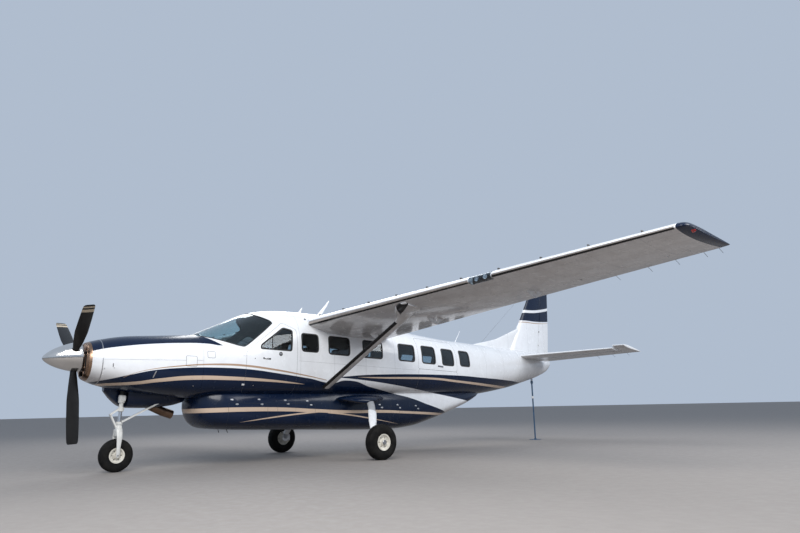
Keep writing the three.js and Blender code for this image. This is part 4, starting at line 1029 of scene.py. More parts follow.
def through(outline, side, corner=0.06, grow=0.0, slanted=False):
    """An outline drawn through one side of the cabin; a slanted one is square to the tapering side."""
    made = prism(arc_corners(grown(outline, grow) if grow else outline, corner), 0.02 * side, 1.2 * side)
    if slanted:
        for vertex in made.data.vertices:
            vertex.co.y += SIDE_TAPER * (abs(vertex.co.x) - DOOR_MIDDLE)
    return made


def through_door(name, grow):
    outline, side = DOORS[name]
    return through(outline, side, DOOR_CORNER, grow, not name.startswith("crew"))


def through_windows(side, carrier):
    """A block for each window that the carrier holds on a side."""
    return [through(window_outline(k), side) for k, c in enumerate(WINDOW_CARRIERS[side]) if c == carrier]


def through_shield(grow, corner, reach=1.2):
    return prism(arc_corners(grown(WINDSHIELD, grow), corner, 8), -reach, reach)


def shell(start, end, out, inner_start, inner_end, deep):
    """The fuselage's skin from one depth to another."""
    return boolean(skin(FUSELAGE, start, end, out), skin(FUSELAGE, inner_start, inner_end, deep))


def inner_faces(made, depth=0.012):
    """Gives the faces that look into the cabin the second material."""
    for face in made.data.polygons:
        c = face.center
        half = half_width(FUSELAGE, c.y + MIDDLE, c.z, depth)
        inside = FIREWALL + 0.02 < c.y + MIDDLE < REAR_WALL - 0.02
        face.material_index = int(abs(c.x) < half - 0.001 and inside)


wall = shell(FIREWALL + GAP, REAR_WALL - GAP, 0, FIREWALL + WALL, REAR_WALL - WALL, WALL)
panels = {}
for name, (outline, side) in DOORS.items():
    panels[name] = common(through_door(name, 0), wall, True)
    holes = [through(CREW_WINDOW, side, CREW_CORNER)] if name.startswith("crew") else []
    for hole in holes + through_windows(side, name):
        boolean(panels[name], hole)
cuts = [through_shield(0, 0.09)] + [through_door(name, DOOR_GAP) for name in DOORS]
for side in WINDOW_CARRIERS:
    cuts += through_windows(side, "cabin")
for tool in cuts:
    boolean(wall, tool)
inner_faces(shape(wall, "cabin_skin", [BODY_PAINT, TRIM], "cabin_shell"))
for name, panel in panels.items():
    inner_faces(shape(panel, name + "_skin", [BODY_PAINT, TRIM], name, name))

# Glass and the dark rubber round it
PANE_OUT, PANE_IN, PANE_GAP = 0.004, 0.010, 0.003
RIM_OUT, RIM_IN = 0.016, 0.014
glass_shell = shell(FIREWALL + 0.05, REAR_WALL - 0.05, PANE_OUT, FIREWALL, REAR_WALL, PANE_IN)
rim_shell = shell(FIREWALL + 0.05, REAR_WALL - 0.05, -0.0015, FIREWALL, REAR_WALL, 0.020)


def glazing(node, body, side, outlines, corner=0.06):
    panes, rims = [], []
    for outline in outlines:
        panes.append(common(through(outline, side, corner, -PANE_GAP), glass_shell, True))
        inside = through(outline, side, corner * 0.8, -RIM_IN)
        rims.append(common(boolean(through(outline, side, corner + 0.016, RIM_OUT), inside), rim_shell, True))
    shape(merge(panes), node + "_pane", GLASS, node, body)
    shape(merge(rims), node + "_rubber", RUBBER, body=body)


for node, body, side, chosen in (
    ("cabin_glass_left", "airframe", 1, range(4)),
    ("cabin_glass_right", "airframe", -1, range(5)),
    ("rear_glass_left", "airframe", 1, [6]),
    ("rear_glass_right", "airframe", -1, [6]),
    ("cargo_door_glass", "cargo_door_upper", 1, [4, 5]),
    ("passenger_door_glass", "passenger_door_upper", -1, [5]),
):
    glazing(node, body, side, [window_outline(k) for k in chosen])
for word, side in SIDES.items():
    glazing("crew_door_glass_" + word, "crew_door_" + word, side, [CREW_WINDOW], CREW_CORNER)

shield = common(through_shield(-PANE_GAP, 0.088), glass_shell, True)
shape(boolean(shield, box(-0.014, 0.014, 0, 4, 1, 4)), "windshield_panes", SHIELD_GLASS, "windshield")
shield_ring = boolean(through_shield(-0.001, 0.09), through_shield(-0.016, 0.078, 1.3))
common(shield_ring, rim_shell, keep=True)
shape(shield_ring, "windshield_rubber", RUBBER)
post = common(box(-0.030, 0.030, 1.1, 2.4, 2, 3), prism(grown(WINDSHIELD, 0.012), -1, 1))
common(post, shell(FIREWALL + 0.02, 3, -0.003, FIREWALL, 3.1, 0.030))
shape(post, "windshield_post", BODY_PAINT)
drop(glass_shell)

# Dark seals in the door gaps
seal_shell = shell(FIREWALL + 0.02, REAR_WALL, 0.0015, FIREWALL, REAR_WALL + 0.1, 0.014)
seals = []
for name in DOORS:
    ring = boolean(through_door(name, DOOR_GAP - 0.0002), through_door(name, 0.0003))
    seals.append(common(ring, seal_shell, True))
shape(merge(seals), "door_seals", RUBBER)
drop(seal_shell)

# Nose ring with its inlets, and the cowl
THRUST = (
    Matrix.Translation((0, PROP["y"], PROP["z"]))
    @ Matrix.Rotation(math.radians(-PROP["cant"]), 4, "Z")
    @ Matrix.Rotation(math.radians(PROP["tilt"]), 4, "X")
)
RING_FRONT, RING_LIP = -0.62, 0.062
INLET = [(1.600, 0.150), (1.905, 0.150), (1.890, 0.292), (1.615, 0.292)]
COOLER = [(1.500, -0.120), (1.590, -0.120), (1.590, 0.120), (1.500, 0.120)]
inlets = [arc_corners(outline, 0.06, 8) for outline in (INLET, [(z, -x) for z, x in INLET])]
inlets.append(arc_corners(COOLER, 0.035, 6))


def across_y(outline, y0, y1, shrink):
    """An outline in Z, X drawn along Y to a smaller end."""
    middle = sum((V((x, 0, z)) for z, x in outline), V()) / len(outline)
    rings = []
    for y, scale in ((y0, 1), (y1, 1 - shrink)):
        spots = [(middle.x + (x - middle.x) * scale, middle.z + (z - middle.z) * scale) for z, x in outline]
        rings.append([V((x, y, z)) for x, z in spots])
    return loft(rings)


ring_rows = smooth_rows(FUSELAGE, stations(RING_FRONT, RING_SPLIT - GAP, 0.02))
ring_loops = [section(ring_rows[0], 0.030), section((RING_FRONT + 0.004, *ring_rows[0][1:]), 0.012)]
ring_rows[0] = (RING_FRONT + 0.014, *ring_rows[0][1:])
ring_loops += [section(row) for row in ring_rows]
nose_ring = loft(ring_loops)
for outline in inlets:
    boolean(nose_ring, across_y(outline, -0.7, -0.43, 0.25))
boolean(nose_ring, rod(THRUST @ V((0, 0.060, 0)), THRUST @ V((0, 0.5, 0)), 0.1, 48))
shape(nose_ring, "nose_ring_skin", [BODY_PAINT, COPPER, INSIDE_SHADE], "nose_ring", angle=25)
# Faces that look into the cowl take the near black: painted shade
for face in nose_ring.data.polygons:
    c = face.center
    y = c.y + MIDDLE
    inside = y > RING_FRONT + 0.012 and abs(c.x) < half_width(FUSELAGE, y, c.z, 0.012)
    face.material_index = 2 if inside else int(y < RING_FRONT + RING_LIP)
shape(shell(RING_SPLIT - 0.006, RING_SPLIT + 0.006, -0.0012, -0.55, -0.3, 0.004), "ring_seam", STEEL)
lips = [loop_tube([V((x, RING_FRONT + 0.002, z)) for z, x in outline], 0.008) for outline in inlets]
shape(merge(lips), "inlet_lips", COPPER)


def chin_solid(inset=0.0):
    rings = []
    for y, half, bottom, top in smooth_rows(CHIN, stations(CHIN[0][0], CHIN[-1][0], 0.05)):
        rings.append(section((y, half, bottom, top, (bottom + top) / 2, 2.6, 3), inset, 64, CHIN_X))
    return loft(rings)


STACK_X, STACK_WALL = -0.30, 0.012
STACK = [
    (V((STACK_X, 0.330, 1.212)), 0.190, 0.150),
    (V((STACK_X, 0.600, 1.040)), 0.190, 0.150),
    (V((STACK_X, 0.800, 0.945)), 0.185, 0.150),
    (V((STACK_X, 0.985, 0.880)), 0.180, 0.150),
    (V((STACK_X, 1.090, 0.845)), 0.177, 0.147),
]


def widened(rows, wider, deeper=None):
    """The rows of a limb with more width and depth."""
    deeper = wider if deeper is None else deeper
    return [(at, wide + wider, deep + deeper) for at, wide, deep in rows]


cowl_inside = skin(FUSELAGE, RING_SPLIT - 0.1, FIREWALL + 0.1, COWL_WALL)
upper, lower = [skin(FUSELAGE, RING_SPLIT + GAP, FIREWALL - GAP) for _ in range(2)]
boolean(upper, cowl_inside, keep=True)
joined(lower, boolean(chin_solid(), box(-0.09, 0.3, -0.5, 0.12, 0.9, 1.29)))
boolean(lower, cowl_inside)
boolean(upper, box(-1, 1, -1, 2, 0, COWL_SPLIT + GAP))
boolean(lower, box(-1, 1, -1, 2, COWL_SPLIT - GAP, 3))
boolean(lower, sweep(widened(STACK[:4], STACK_WALL), sides=32))
shape(upper, "upper_cowl_skin", BODY_PAINT, "upper_cowl")
shape(lower, "lower_cowl_skin", BODY_PAINT, "lower_cowl", slot="navy_paint")
stack = boolean(sweep(STACK[:4], sides=40), sweep(widened(STACK[1:], -STACK_WALL), sides=40))
shape(stack, "exhaust_pipe", EXHAUST, "exhaust_stack")

# Tail cone and pod
STAND_Y, STAND_TOP = 10.687, 1.536
TAIL_END = 11.549
lug = box(-0.009, 0.009, STAND_Y - 0.032, STAND_Y + 0.032, STAND_TOP + 0.0003, 1.70)
boolean(lug, rod((-0.05, STAND_Y, 1.562), (0.05, STAND_Y, 1.562), 0.011, 20))
shape(skin(FUSELAGE, REAR_WALL + GAP, TAIL_END, step=0.07), "tail_cone_skin", BODY_PAINT, "tail_cone")
shape(lug, "tie_down_lug", STEEL)
body_solid = skin(FUSELAGE, 0.5, 11.54, -0.001)

FAIRING = [
    (V((0.520, 4.400, 1.095)), 1.120, 0.150),
    (V((0.760, 4.400, 1.100)), 1.080, 0.150),
    (V((0.880, 4.410, 1.085)), 0.860, 0.140),
    (V((0.960, 4.425, 1.062)), 0.520, 0.116),
    (V((1.000, 4.435, 1.035)), 0.240, 0.090),
]
pod = skin(POD, POD[0][0], POD[-1][0], step=0.04)
fairing = sweep(smooth_limb(FAIRING, 5), Y_AXIS, 40)
joined(pod, mirrored(fairing))
joined(pod, fairing)
boolean(pod, body_solid, keep=True)
shape(pod, "cargo_pod_skin", BODY_PAINT, "cargo_pod", slot="navy_paint")

# Wings, with the flaps and ailerons cut out of them
# Tip cap: distance from the middle, share of the thickness and how far the nose moves back
TIP_ROWS = [
    (TIP_CAP, 1.0, 0.0), (7.88, 0.92, 0.008), (7.92, 0.66, 0.034), (HALF_SPAN, 0.26, 0.084),
]
# Radii of the aileron's nose at its ends, the gap round control surfaces, half width of a hinge eye
AILERON_NOSE = (0.042, 0.035)
SLOT = 0.006
EYE_HALF = 0.0135


def wing_ring(x, share=1.0, back=0.0):
    at = wing_at(x)
    chord = at["chord"] - back - (0.006 if back else 0)
    return airfoil({**at, "y": at["y"] + back, "chord": chord, "thick": at["thick"] * share})


def rear_plan(part, share, space=0, lead=0):
    """A block over a surface at the wing's rear, from its hinge or front line back."""
    x0, x1 = part["start"] - space, part["to"] + space
    y0, y1 = [chord_point(wing_at(x), share).y - lead for x in (part["start"], part["to"])]
    return plan([(x0, y0), (x1, y1), (x1, 5.6), (x0, 5.6)], 1.5, 3.5)


def hinge_eyes(moving, fixed, ends, shares, axis, forward, radius, arm):
    """Slots in a control surface, and the eyes and arms in them that carry it."""
    for share in shares:
        at = ends[0].lerp(ends[1], share)
        boolean(moving, bar(at - forward * (radius + 0.016), at + forward * arm, 0.028, 0.5, axis))
        joined(fixed, pin(at, axis, EYE_HALF, radius, 20))
        joined(fixed, bar(at, at + forward * arm, 0.012, radius, axis))


tip_rings = [wing_ring(*row) for row in smooth_rows(TIP_ROWS, stations(TIP_CAP, HALF_SPAN, 0.014))]
wing = loft([wing_ring(x) for x in stations(WING_START, TIP_CAP, 0.4)] + tip_rings[1:])
boolean(wing, body_solid, keep=True)
aileron_line = [chord_point(wing_at(x), AILERON["hinge"]) for x in (AILERON["start"], AILERON["to"])]
aileron_axis = (aileron_line[1] - aileron_line[0]).normalized()


def aileron_rod(space, wider=0.0):
    ends = [aileron_line[0] - aileron_axis * space, aileron_line[1] + aileron_axis * space]
    return rod(*ends, AILERON_NOSE[0] + wider, 32, AILERON_NOSE[1] + wider)


flap = common(rear_plan(FLAP, FLAP["front"]), wing, True)
aileron = common(rear_plan(AILERON, AILERON["hinge"]), wing, True)
joined(aileron, aileron_rod(-0.0005))
boolean(wing, rear_plan(FLAP, FLAP["front"], SLOT, SLOT))
boolean(wing, rear_plan(AILERON, AILERON["hinge"], SLOT, 0.028))
boolean(wing, aileron_rod(SLOT, 0.007))
hinge_eyes(aileron, wing, aileron_line, (0.15, 0.85), aileron_axis, -Y_AXIS, 0.016, 0.095)


def flap_hinge(x):
    at = wing_at(x)
    return chord_point(at, FLAP["front"], at["chord"] * 0.062 + FLAP["drop"])


FLAP_BRACKETS = (1.2, 2.9, 5.15)
# Outlines in Y, Z about the hinge
WING_PLATE = [
    (-0.260, 0.130), (-0.150, 0.030), (-0.040, -0.016), (0.012, -0.012), (0.016, 0.006), (-0.060, 0.150),
    (-0.150, 0.170),
]
FLAP_PLATE = [(-0.014, -0.010), (0.010, -0.014), (0.110, 0.040), (0.215, 0.130), (0.060, 0.145)]
flap_axis = (flap_hinge(FLAP["to"]) - flap_hinge(FLAP["start"])).normalized()
flap_turn = X_AXIS.rotation_difference(flap_axis)
for x in FLAP_BRACKETS:
    for made, outline, start, end in (
        (wing, arc_corners(WING_PLATE, 0.02, 4), -0.014, 0),
        (flap, arc_corners(FLAP_PLATE, 0.008, 3), 0.0003, 0.014),
    ):
        ends = [flap_hinge(x) + flap_axis * out for out in (start, end)]
        joined(made, loft([[at + flap_turn @ V((0, p, q)) for p, q in outline] for at in ends]))
        joined(made, rod(*ends, 0.017, 24))

# Struts, each with a flared cuff at its upper end and a rubber boot along its front
STRUT_FOOT = (V((0.770, 3.530, 1.325)), 0.185, 0.074)
CUFF = [
    (V((2.640, 3.812, 2.375)), 0.185, 0.074), (V((2.800, 3.790, 2.470)), 0.290, 0.110),
    (V((2.960, 3.730, 2.540)), 0.470, 0.150), (V((3.130, 3.690, 2.585)), 0.600, 0.190),
    (V((3.330, 3.670, 2.610)), 0.580, 0.150),
]
strut = sweep([STRUT_FOOT, *smooth_limb(CUFF, 5)], Y_AXIS, 40)
boolean(strut, body_solid, keep=True)
boolean(strut, wing, keep=True)
strut_edge = [STRUT_FOOT, CUFF[0]]
strut_boot = sweep(widened(strut_edge, 0.003), Y_AXIS, 40)
boolean(strut_boot, sweep(widened(strut_edge, -0.004), Y_AXIS, 40))
ahead = [(at - Y_AXIS * (chord / 2 - 0.004), 0.10, 0.2) for at, chord, _ in strut_edge]
common(strut_boot, sweep(ahead, Y_AXIS, 4, 2.0))
boolean(strut_boot, body_solid, keep=True)
both_sides(strut_boot, "strut_boot", BOOT)
both_sides(strut, "strut_skin", STRUT_PAINT, "wing_strut_SIDE")

# Lamps behind a lens in the leading edge, and the rubber boot beside it
LENS = dict(start=4.72, to=5.15, upper=0.25, lower=-0.24)
LAMPS_AT = (4.84, 5.01)
LAMP_PROFILE = [(0, 0.030), (0.022, 0.026), (0.038, 0.004), (0.040, 0.0), (0.036, 0.002), (0, 0.012)]
BOOT_EDGES = (0.05, -0.15)
BOOT_STEPS = 10
BOOT_START = 0.70
lens_at = wing_at((LENS["start"] + LENS["to"]) / 2)
lens_back = foil(lens_at, (LENS["upper"] - 0.02) ** 2, 1).y
boolean(wing, box(LENS["start"] + 0.012, LENS["to"] - 0.012, 3.0, lens_back, 2.2, 3.2))
lens = foil_strip(stations(LENS["start"], LENS["to"], 0.06), LENS["upper"], LENS["lower"], 0.0012, 0.002, 24)
both_sides(lens, "landing_light_lens", LENS_GLASS)
well_ends = LENS["start"] + 0.013, LENS["to"] - 0.013
well = box(*well_ends, lens_back - 0.004, lens_back + 0.002, lens_at["z"] - 0.06, lens_at["z"] + 0.06)
common(well, loft([wing_ring(x, 0.9) for x in (4.6, 4.9, 5.3)]))
# The well behind the lens is near black: painted shade
both_sides(well, "landing_light_well", INSIDE_SHADE)
lamps = []
for x in LAMPS_AT:
    place = V((x, lens_back - 0.038, foil(wing_at(x), 0.02, 1).z - 0.034))
    lamps.append(lathe(LAMP_PROFILE, place, Y_AXIS, 32))
# White paint makes the lamps' polished reflectors show as bright spots: painted reflection
both_sides(merge(lamps), "landing_lamps", WHITE_PAINT, slot="polished_metal")
boot_spans = [(BOOT_START, LENS["start"] - 0.01), (LENS["to"] + 0.01, TIP_CAP - 0.02)]
boots = merge([foil_strip(stations(*span, 0.5), *BOOT_EDGES) for span in boot_spans])
both_sides(boots, "wing_boots", [BOOT, BOOT_SHEEN_METAL])
# The upper and front faces of each boot strip take the lighter metal: painted reflection
for word in SIDES:
    for face in bpy.data.objects["wing_boots_" + word].data.polygons:
        face.material_index = int(face.index % (2 * BOOT_STEPS + 2) < BOOT_STEPS * 0.55)
both_sides(wing, "wing_skin", WING_PAINT, "wing_SIDE", angle=24)
both_sides(flap, "flap_skin", WING_PAINT, "flap_SIDE", "flap_SIDE", angle=24)
both_sides(aileron, "aileron_skin", WING_PAINT, "aileron_SIDE", "aileron_SIDE", angle=24)

# Tail plane and elevators
PLANE_END = PLANE_TIP["x"]
PLANE_FADE = {PLANE_END - 0.012: 0.94, PLANE_END - 0.003: 0.75, PLANE_END: 0.4}
plane_rings = []
for x in stations(0.0, PLANE_END - 0.03, 0.3) + list(PLANE_FADE):
    at = tail_at(x)
    plane_rings.append(airfoil({**at, "thick": at["thick"] * PLANE_FADE.get(x, 1)}))
half_plane = loft(plane_rings)


def elevator_plan(space, lead):
    inner, horn, y = ELEVATOR["inner"] - space, ELEVATOR["horn"] - space, ELEVATOR["y"]
    far = PLANE_END + 0.1
    outline = [(inner, y - lead), (horn, y - lead), (horn, 9.8), (far, 9.8), (far, 11.3), (inner, 11.3)]
    return plan(outline, 1.5, 3.5)


root = tail_at(ELEVATOR["inner"])
elevator_z = chord_point(root, (ELEVATOR["y"] - root["y"]) / root["chord"]).z
elevator_line = [V((ELEVATOR[end], ELEVATOR["y"], elevator_z)) for end in ("inner", "horn")]


def elevator_rod(space, radius):
    return rod(elevator_line[0] - X_AXIS * space, elevator_line[1] + X_AXIS * space, radius, 32)


elevator = common(elevator_plan(0, 0), half_plane, True)
joined(elevator, elevator_rod(-0.0005, 0.028))
boolean(half_plane, elevator_plan(SLOT, 0.034))
boolean(half_plane, elevator_rod(SLOT, 0.035))
hinge_eyes(elevator, half_plane, elevator_line, (0.15, 0.85), X_AXIS, -Y_AXIS, 0.013, 0.08)
droop = Matrix.Rotation(math.radians(-ELEVATOR["droop"]), 4, "X")
droop = Matrix.Translation(elevator_line[0]) @ droop @ Matrix.Translation(-elevator_line[0])
elevator.data.transform(droop)
joined(half_plane, mirrored(half_plane))
boolean(half_plane, box(-0.2, 0.2, ELEVATOR["y"] + 0.06, 11.5, 1.5, 3.5))
shape(half_plane, "tail_plane_skin", TAIL_PAINT, "tail_plane", angle=24)
both_sides(elevator, "elevator_skin", TAIL_PAINT, "elevator_SIDE", "elevator", angle=24)

# Fin with its dorsal fillet, and the rudder
FIN_TIP = [(4.620, 11.225, 11.650, 0.082), (4.640, 11.245, 11.637, 0.062)]
DORSAL = [
    (2.300, 8.350, 0.046), (2.392, 8.350, 0.046), (2.458, 8.600, 0.046), (2.520, 8.930, 0.046),
    (2.600, 9.300, 0.048), (2.720, 9.640, 0.054), (2.830, 9.930, 0.064), (2.933, 10.196, 0.078),
    (2.965, 10.245, 0.080),
]
DORSAL_REAR = 10.62


def fin_ring(z, front, rear, thick):
    return airfoil(dict(x=0, y=front, z=z, chord=rear - front, angle=0, thick=thick), "z")


foot, low, high, tip = [np.array([row[k] for k in ("z", "front", "rear", "thick")]) for row in FIN]
fin = loft([fin_ring(*row) for row in [foot, *[low + (high - low) * t / 8 for t in range(9)], *FIN_TIP, tip]])
dorsal_rows = smooth_rows(DORSAL, stations(DORSAL[0][0], DORSAL[-1][0], 0.03))
joined(fin, loft([fin_ring(z, y, DORSAL_REAR, wide / (DORSAL_REAR - y)) for z, y, wide in dorsal_rows]))


def hinge_at(z):
    return RUDDER_LOW.lerp(RUDDER_HIGH, (z - RUDDER_LOW.z) / (RUDDER_HIGH.z - RUDDER_LOW.z))


def rudder_side(lead, foot):
    outline = [(hinge_at(foot).y - lead, foot), (12.2, foot), (12.2, 5.2), (hinge_at(5.2).y - lead, 5.2)]
    return prism(outline, -0.3, 0.3)


def rudder_rod(space, low, high):
    return rod(hinge_at(low), hinge_at(high), 0.038 + space, 32, 0.020 + space)


rudder_axis = (RUDDER_HIGH - RUDDER_LOW).normalized()
rudder = common(rudder_side(0, RUDDER_LOW.z), fin, True)
joined(rudder, rudder_rod(0, RUDDER_LOW.z, HEIGHT - 0.07))
boolean(fin, rudder_side(0.026, 1.9))
boolean(fin, rudder_rod(0.007, 2.15, HEIGHT + 0.2))
forward = (-Y_AXIS + rudder_axis * rudder_axis.y).normalized()
hinge_eyes(rudder, fin, (RUDDER_LOW, RUDDER_HIGH), (0.12, 0.8), rudder_axis, forward, 0.014, 0.09)
boolean(fin, body_solid, keep=True)
shape(fin, "fin_skin", BODY_PAINT, "fin", angle=24)
shape(rudder, "rudder_skin", BODY_PAINT, "rudder", "rudder", angle=24)

# Propeller: share of the radius, chord, thickness and turn
BLADE = [
    (0.085, 0.092, 0.092, 0), (0.17, 0.096, 0.088, 14), (0.26, 0.130, 0.058, 16), (0.4, 0.165, 0.040, 11),
    (0.52, 0.185, 0.032, 6), (0.7, 0.184, 0.024, 0), (0.9, 0.174, 0.016, -5), (0.97, 0.165, 0.012, -6),
    (0.99, 0.148, 0.010, -7), (1.0, 0.122, 0.008, -7),
]
BLADE_SIDES = 28
BLADE_BANDS = [(0.872, 0.920), (0.948, 0.972)]
SPINNER_TIP = -0.4417
SPINNER = [
    (SPINNER_TIP, 0.002), (-0.438, 0.018), (-0.418, 0.045), (-0.343, 0.104), (-0.240, 0.158),
    (-0.110, 0.204), (0.030, 0.234), (0.100, 0.240),
]
spinner_rows = smooth_rows(SPINNER, [SPINNER_TIP, -0.4413, -0.440] + stations(-0.438, 0.094, 0.016))
profile = [(0, SPINNER_TIP)] + [(r, y) for y, r in spinner_rows]
profile += [(0.2385, 0.098), (0.232, 0.100), (0, 0.100)]
spinner = lathe(profile, V((0, 0, 0)), Y_AXIS, 96)
spinner.data.transform(THRUST)
shares = stations(0.085, 0.985, 0.03) + [0.992, 0.997, 1.0] + [edge for band in BLADE_BANDS for edge in band]
shares.sort()
for k in range(3):
    blade_turn = THRUST @ Matrix.Rotation(math.radians(120 * k), 4, "Y")
    rings = []
    for share, chord, thick, twist in smooth_rows(BLADE, shares):
        flat = min(max((share - 0.17) / 0.2, 0), 1)
        ring = []
        for i in range(BLADE_SIDES):
            a = (i + 0.5) / BLADE_SIDES * math.tau
            c, s = math.cos(a), math.sin(a)
            belly = 1 - 0.45 * flat * (s < 0)
            p = V((s * belly * thick / 2, c * chord / 2, -share * PROP["radius"]))
            ring.append(Matrix.Rotation(math.radians(twist), 3, "Z") @ p)
        rings.append(ring)
    made = loft(rings)
    hole = rod((0, 0, -0.112), (0, 0, -0.30), 0.054, 40)
    collar = lathe(hollow(0.056, 0.0485, -0.205, -0.180), V(), Z_AXIS, 48)
    for part in (made, hole, collar):
        part.data.transform(blade_turn)
    boolean(spinner, hole)
    name = "propeller_blade_%d" % (k + 1)
    shape(made, name + "_skin", [BLADE_PAINT, BLADE_BAND], name, "propeller", angle=50)
    for face in made.data.polygons:
        row, side = divmod(face.index, BLADE_SIDES)
        if row < len(shares) - 1 and side >= BLADE_SIDES / 2:
            face.material_index = int(any(a < shares[row] + 0.001 < b for a, b in BLADE_BANDS))
    shape(collar, "blade_collar_%d" % (k + 1), RUBBER, body="propeller")
shape(spinner, "spinner_shell", POLISHED, "spinner", "propeller", angle=30)

# Wheels and tyres: the bead seat's share of the half width, the play in a fit, and the holes in a hub
SEAT_SHARE = 0.784
FIT = 0.0006
HOLES = 6


def wheel_profile(wheel):
    out, dish, seat = wheel["half"] * 0.83, wheel["half"] * 0.5, wheel["half"] * SEAT_SHARE + 0.0004
    bore, rim_in, flange = wheel["axle"] + FIT, wheel["rim"] - FIT, wheel["flange"]
    half = [
        (bore, out), (bore + 0.026, out), (bore + 0.030, out - 0.004), (bore + 0.034, dish + 0.01),
        (bore + 0.044, dish), (rim_in - 0.022, dish), (rim_in - 0.014, dish + 0.004),
        (flange - 0.006, out - 0.003), (flange - 0.002, out), (flange, out - 0.003), (flange, seat),
        (rim_in, seat),
    ]
    return half + [(r, -x) for r, x in reversed(half)] + [half[0]]


def tyre_profile(wheel):
    """A round-shouldered tyre with two grooves on each side of the middle."""
    half, flange, radius = wheel["half"], wheel["flange"], wheel["radius"]
    seat, deep = half * SEAT_SHARE - 0.0004, radius - flange
    face = [(wheel["rim"], 0), (wheel["rim"], seat), (flange + 0.003, seat), (flange + 0.006, seat + 0.006)]
    for high, out in ((0.18, 0.94), (0.40, 1), (0.62, 0.965), (0.80, 0.86), (0.92, 0.70)):
        face.append((flange + deep * high, half * out))
    face.append((radius - 0.002, half * 0.52))
    wide, low, top = half * 0.035, radius - 0.008, radius - 0.0005
    for middle in (half * 0.40, half * 0.13):
        face += [(top, middle + wide + 0.001), (low, middle + wide * 0.6)]
        face += [(low, middle - wide * 0.6), (top, middle - wide - 0.001)]
    return face + [(r, -x) for r, x in reversed(face[1:])] + [face[0]]


for wheel, name in ((MAIN, "main"), (NOSE, "nose")):
    centre = V((wheel["x"], wheel["y"], wheel["radius"]))
    hub = lathe(wheel_profile(wheel), centre, X_AXIS, 96)
    ring_radius = (wheel["axle"] + 0.044 + wheel["rim"] - 0.022) / 2
    bolts = []
    for i in range(HOLES):
        a = i / HOLES * math.tau
        at = centre + V((0, math.cos(a), math.sin(a))) * ring_radius
        boolean(hub, pin(at, X_AXIS, 0.2, ring_radius * 0.17, 24))
        a = (i + 0.5) / HOLES * math.tau
        at = centre + V((0, math.cos(a), math.sin(a))) * ring_radius
        for way in (1, -1):
            foot = at + X_AXIS * way * (wheel["half"] * 0.5 - 0.002)
            bolts.append(rod(foot, foot + X_AXIS * way * 0.0048, 0.006, 6))
    tyre = lathe(tyre_profile(wheel), centre, X_AXIS, 160)
    for made, word, material, node, angle in (
        (hub, "hub", HUB_PAINT, "wheel", 30), (merge(bolts), "bolts", STEEL, "", 30),
        (tyre, "rubber", TYRE, "tyre", 40),
    ):
        if name == "main":
            node = node and "main_" + node + "_SIDE"
            both_sides(made, "main_" + word, material, node, "main_wheel_SIDE", angle=angle)
        else:
            shape(made, "nose_" + word, material, node and "nose_" + node, "nose_wheel", angle=angle)

# Main legs with their axles, brakes and sleeves
LEG = [
    (V((0.600, 4.470, 1.092)), 0.190, 0.080), (V((0.760, 4.460, 1.090)), 0.180, 0.078),
    (V((0.950, 4.435, 1.045)), 0.165, 0.074), (V((1.200, 4.300, 0.850)), 0.145, 0.066),
    (V((1.450, 4.120, 0.640)), 0.125, 0.058), (V((1.590, 4.060, 0.430)), 0.115, 0.056),
    (V((1.625, 4.050, 0.312)), 0.105, 0.056),
]
SLEEVE_LOW, SLEEVE_HIGH = 0.40, 0.87
AXLE_NUT = [(0, 0.0903), (0.038, 0.0903), (0.042, 0.094), (0.042, 0.106), (0.036, 0.112), (0, 0.112)]
# The caliper, its bleed block and the brake line: places from the hub's centre
BRAKE_X = 1.647 - MAIN["x"]
BRAKE_LINE = [
    (BRAKE_X, 0.10, 0.075), (1.640 - MAIN["x"], 0.09, 0.15), (1.575 - MAIN["x"], 0.085, 0.24),
    (1.50 - MAIN["x"], 0.10, 0.335),
]
limb = smooth_limb(LEG, 6)
leg = boolean(sweep(limb, Y_AXIS, 32), body_solid, keep=True)
hub_at = V((MAIN["x"], MAIN["y"], MAIN["radius"]))
axle_parts = [
    rod((1.600, hub_at.y, hub_at.z), (MAIN["x"] + 0.096, hub_at.y, hub_at.z), MAIN["axle"], 40),
    lathe(AXLE_NUT, hub_at, X_AXIS, 48),
]
brake_parts = [
    lathe(drum(0.072, -0.168, -0.140, (0.006, 0.006)), hub_at, X_AXIS, 48),
    bevel_box(hub_at + V((BRAKE_X, 0.070, 0)), (0.056, 0.096, 0.116), 0.010),
    bevel_box(hub_at + V((BRAKE_X, 0.100, 0.064)), (0.030, 0.030, 0.030), 0.004),
    tube([hub_at + V(place) for place in BRAKE_LINE], 0.005),
]
sleeve_rows = [row for row in limb if SLEEVE_LOW < row[0].z < SLEEVE_HIGH]
both_sides(sweep(widened(sleeve_rows, 0.030, 0.012), Y_AXIS, 32), "leg_sleeve", WHITE_PAINT)
both_sides(merge(axle_parts), "main_axle", STEEL, angle=40)
both_sides(merge(brake_parts), "brake", ALUMINIUM, angle=30)
both_sides(leg, "main_leg_skin", LEG_PAINT, "main_leg_SIDE")

# Nose gear
FORK_LEG = [
    (V((0.070, 0.0116, 0.660)), 0.100, 0.040), (V((0.086, 0.01004, 0.620)), 0.094, 0.034),
    (V((0.106, 0.010, 0.560)), 0.088, 0.028), (V((0.110, 0.008, 0.520)), 0.084, 0.026),
    (V((0.110, 0.004, 0.380)), 0.060, 0.024), (V((0.110, 0.001, 0.290)), 0.058, 0.024),
    (V((0.110, 0.0, 0.232)), 0.040, 0.022),
]
FORK_HEAD = [
    (0.560, 0.140, 0.090), (0.600, 0.190, 0.104), (0.650, 0.196, 0.110), (0.700, 0.124, 0.096),
    (0.735, 0.080, 0.080),
]
LINK_TOP = V((0, 0.640, 1.078))
APEX = V((0, -0.128, 0.905))
# Above this height the nose strut is near black, painted shade under the cowl
SHADED_FROM = 1.201


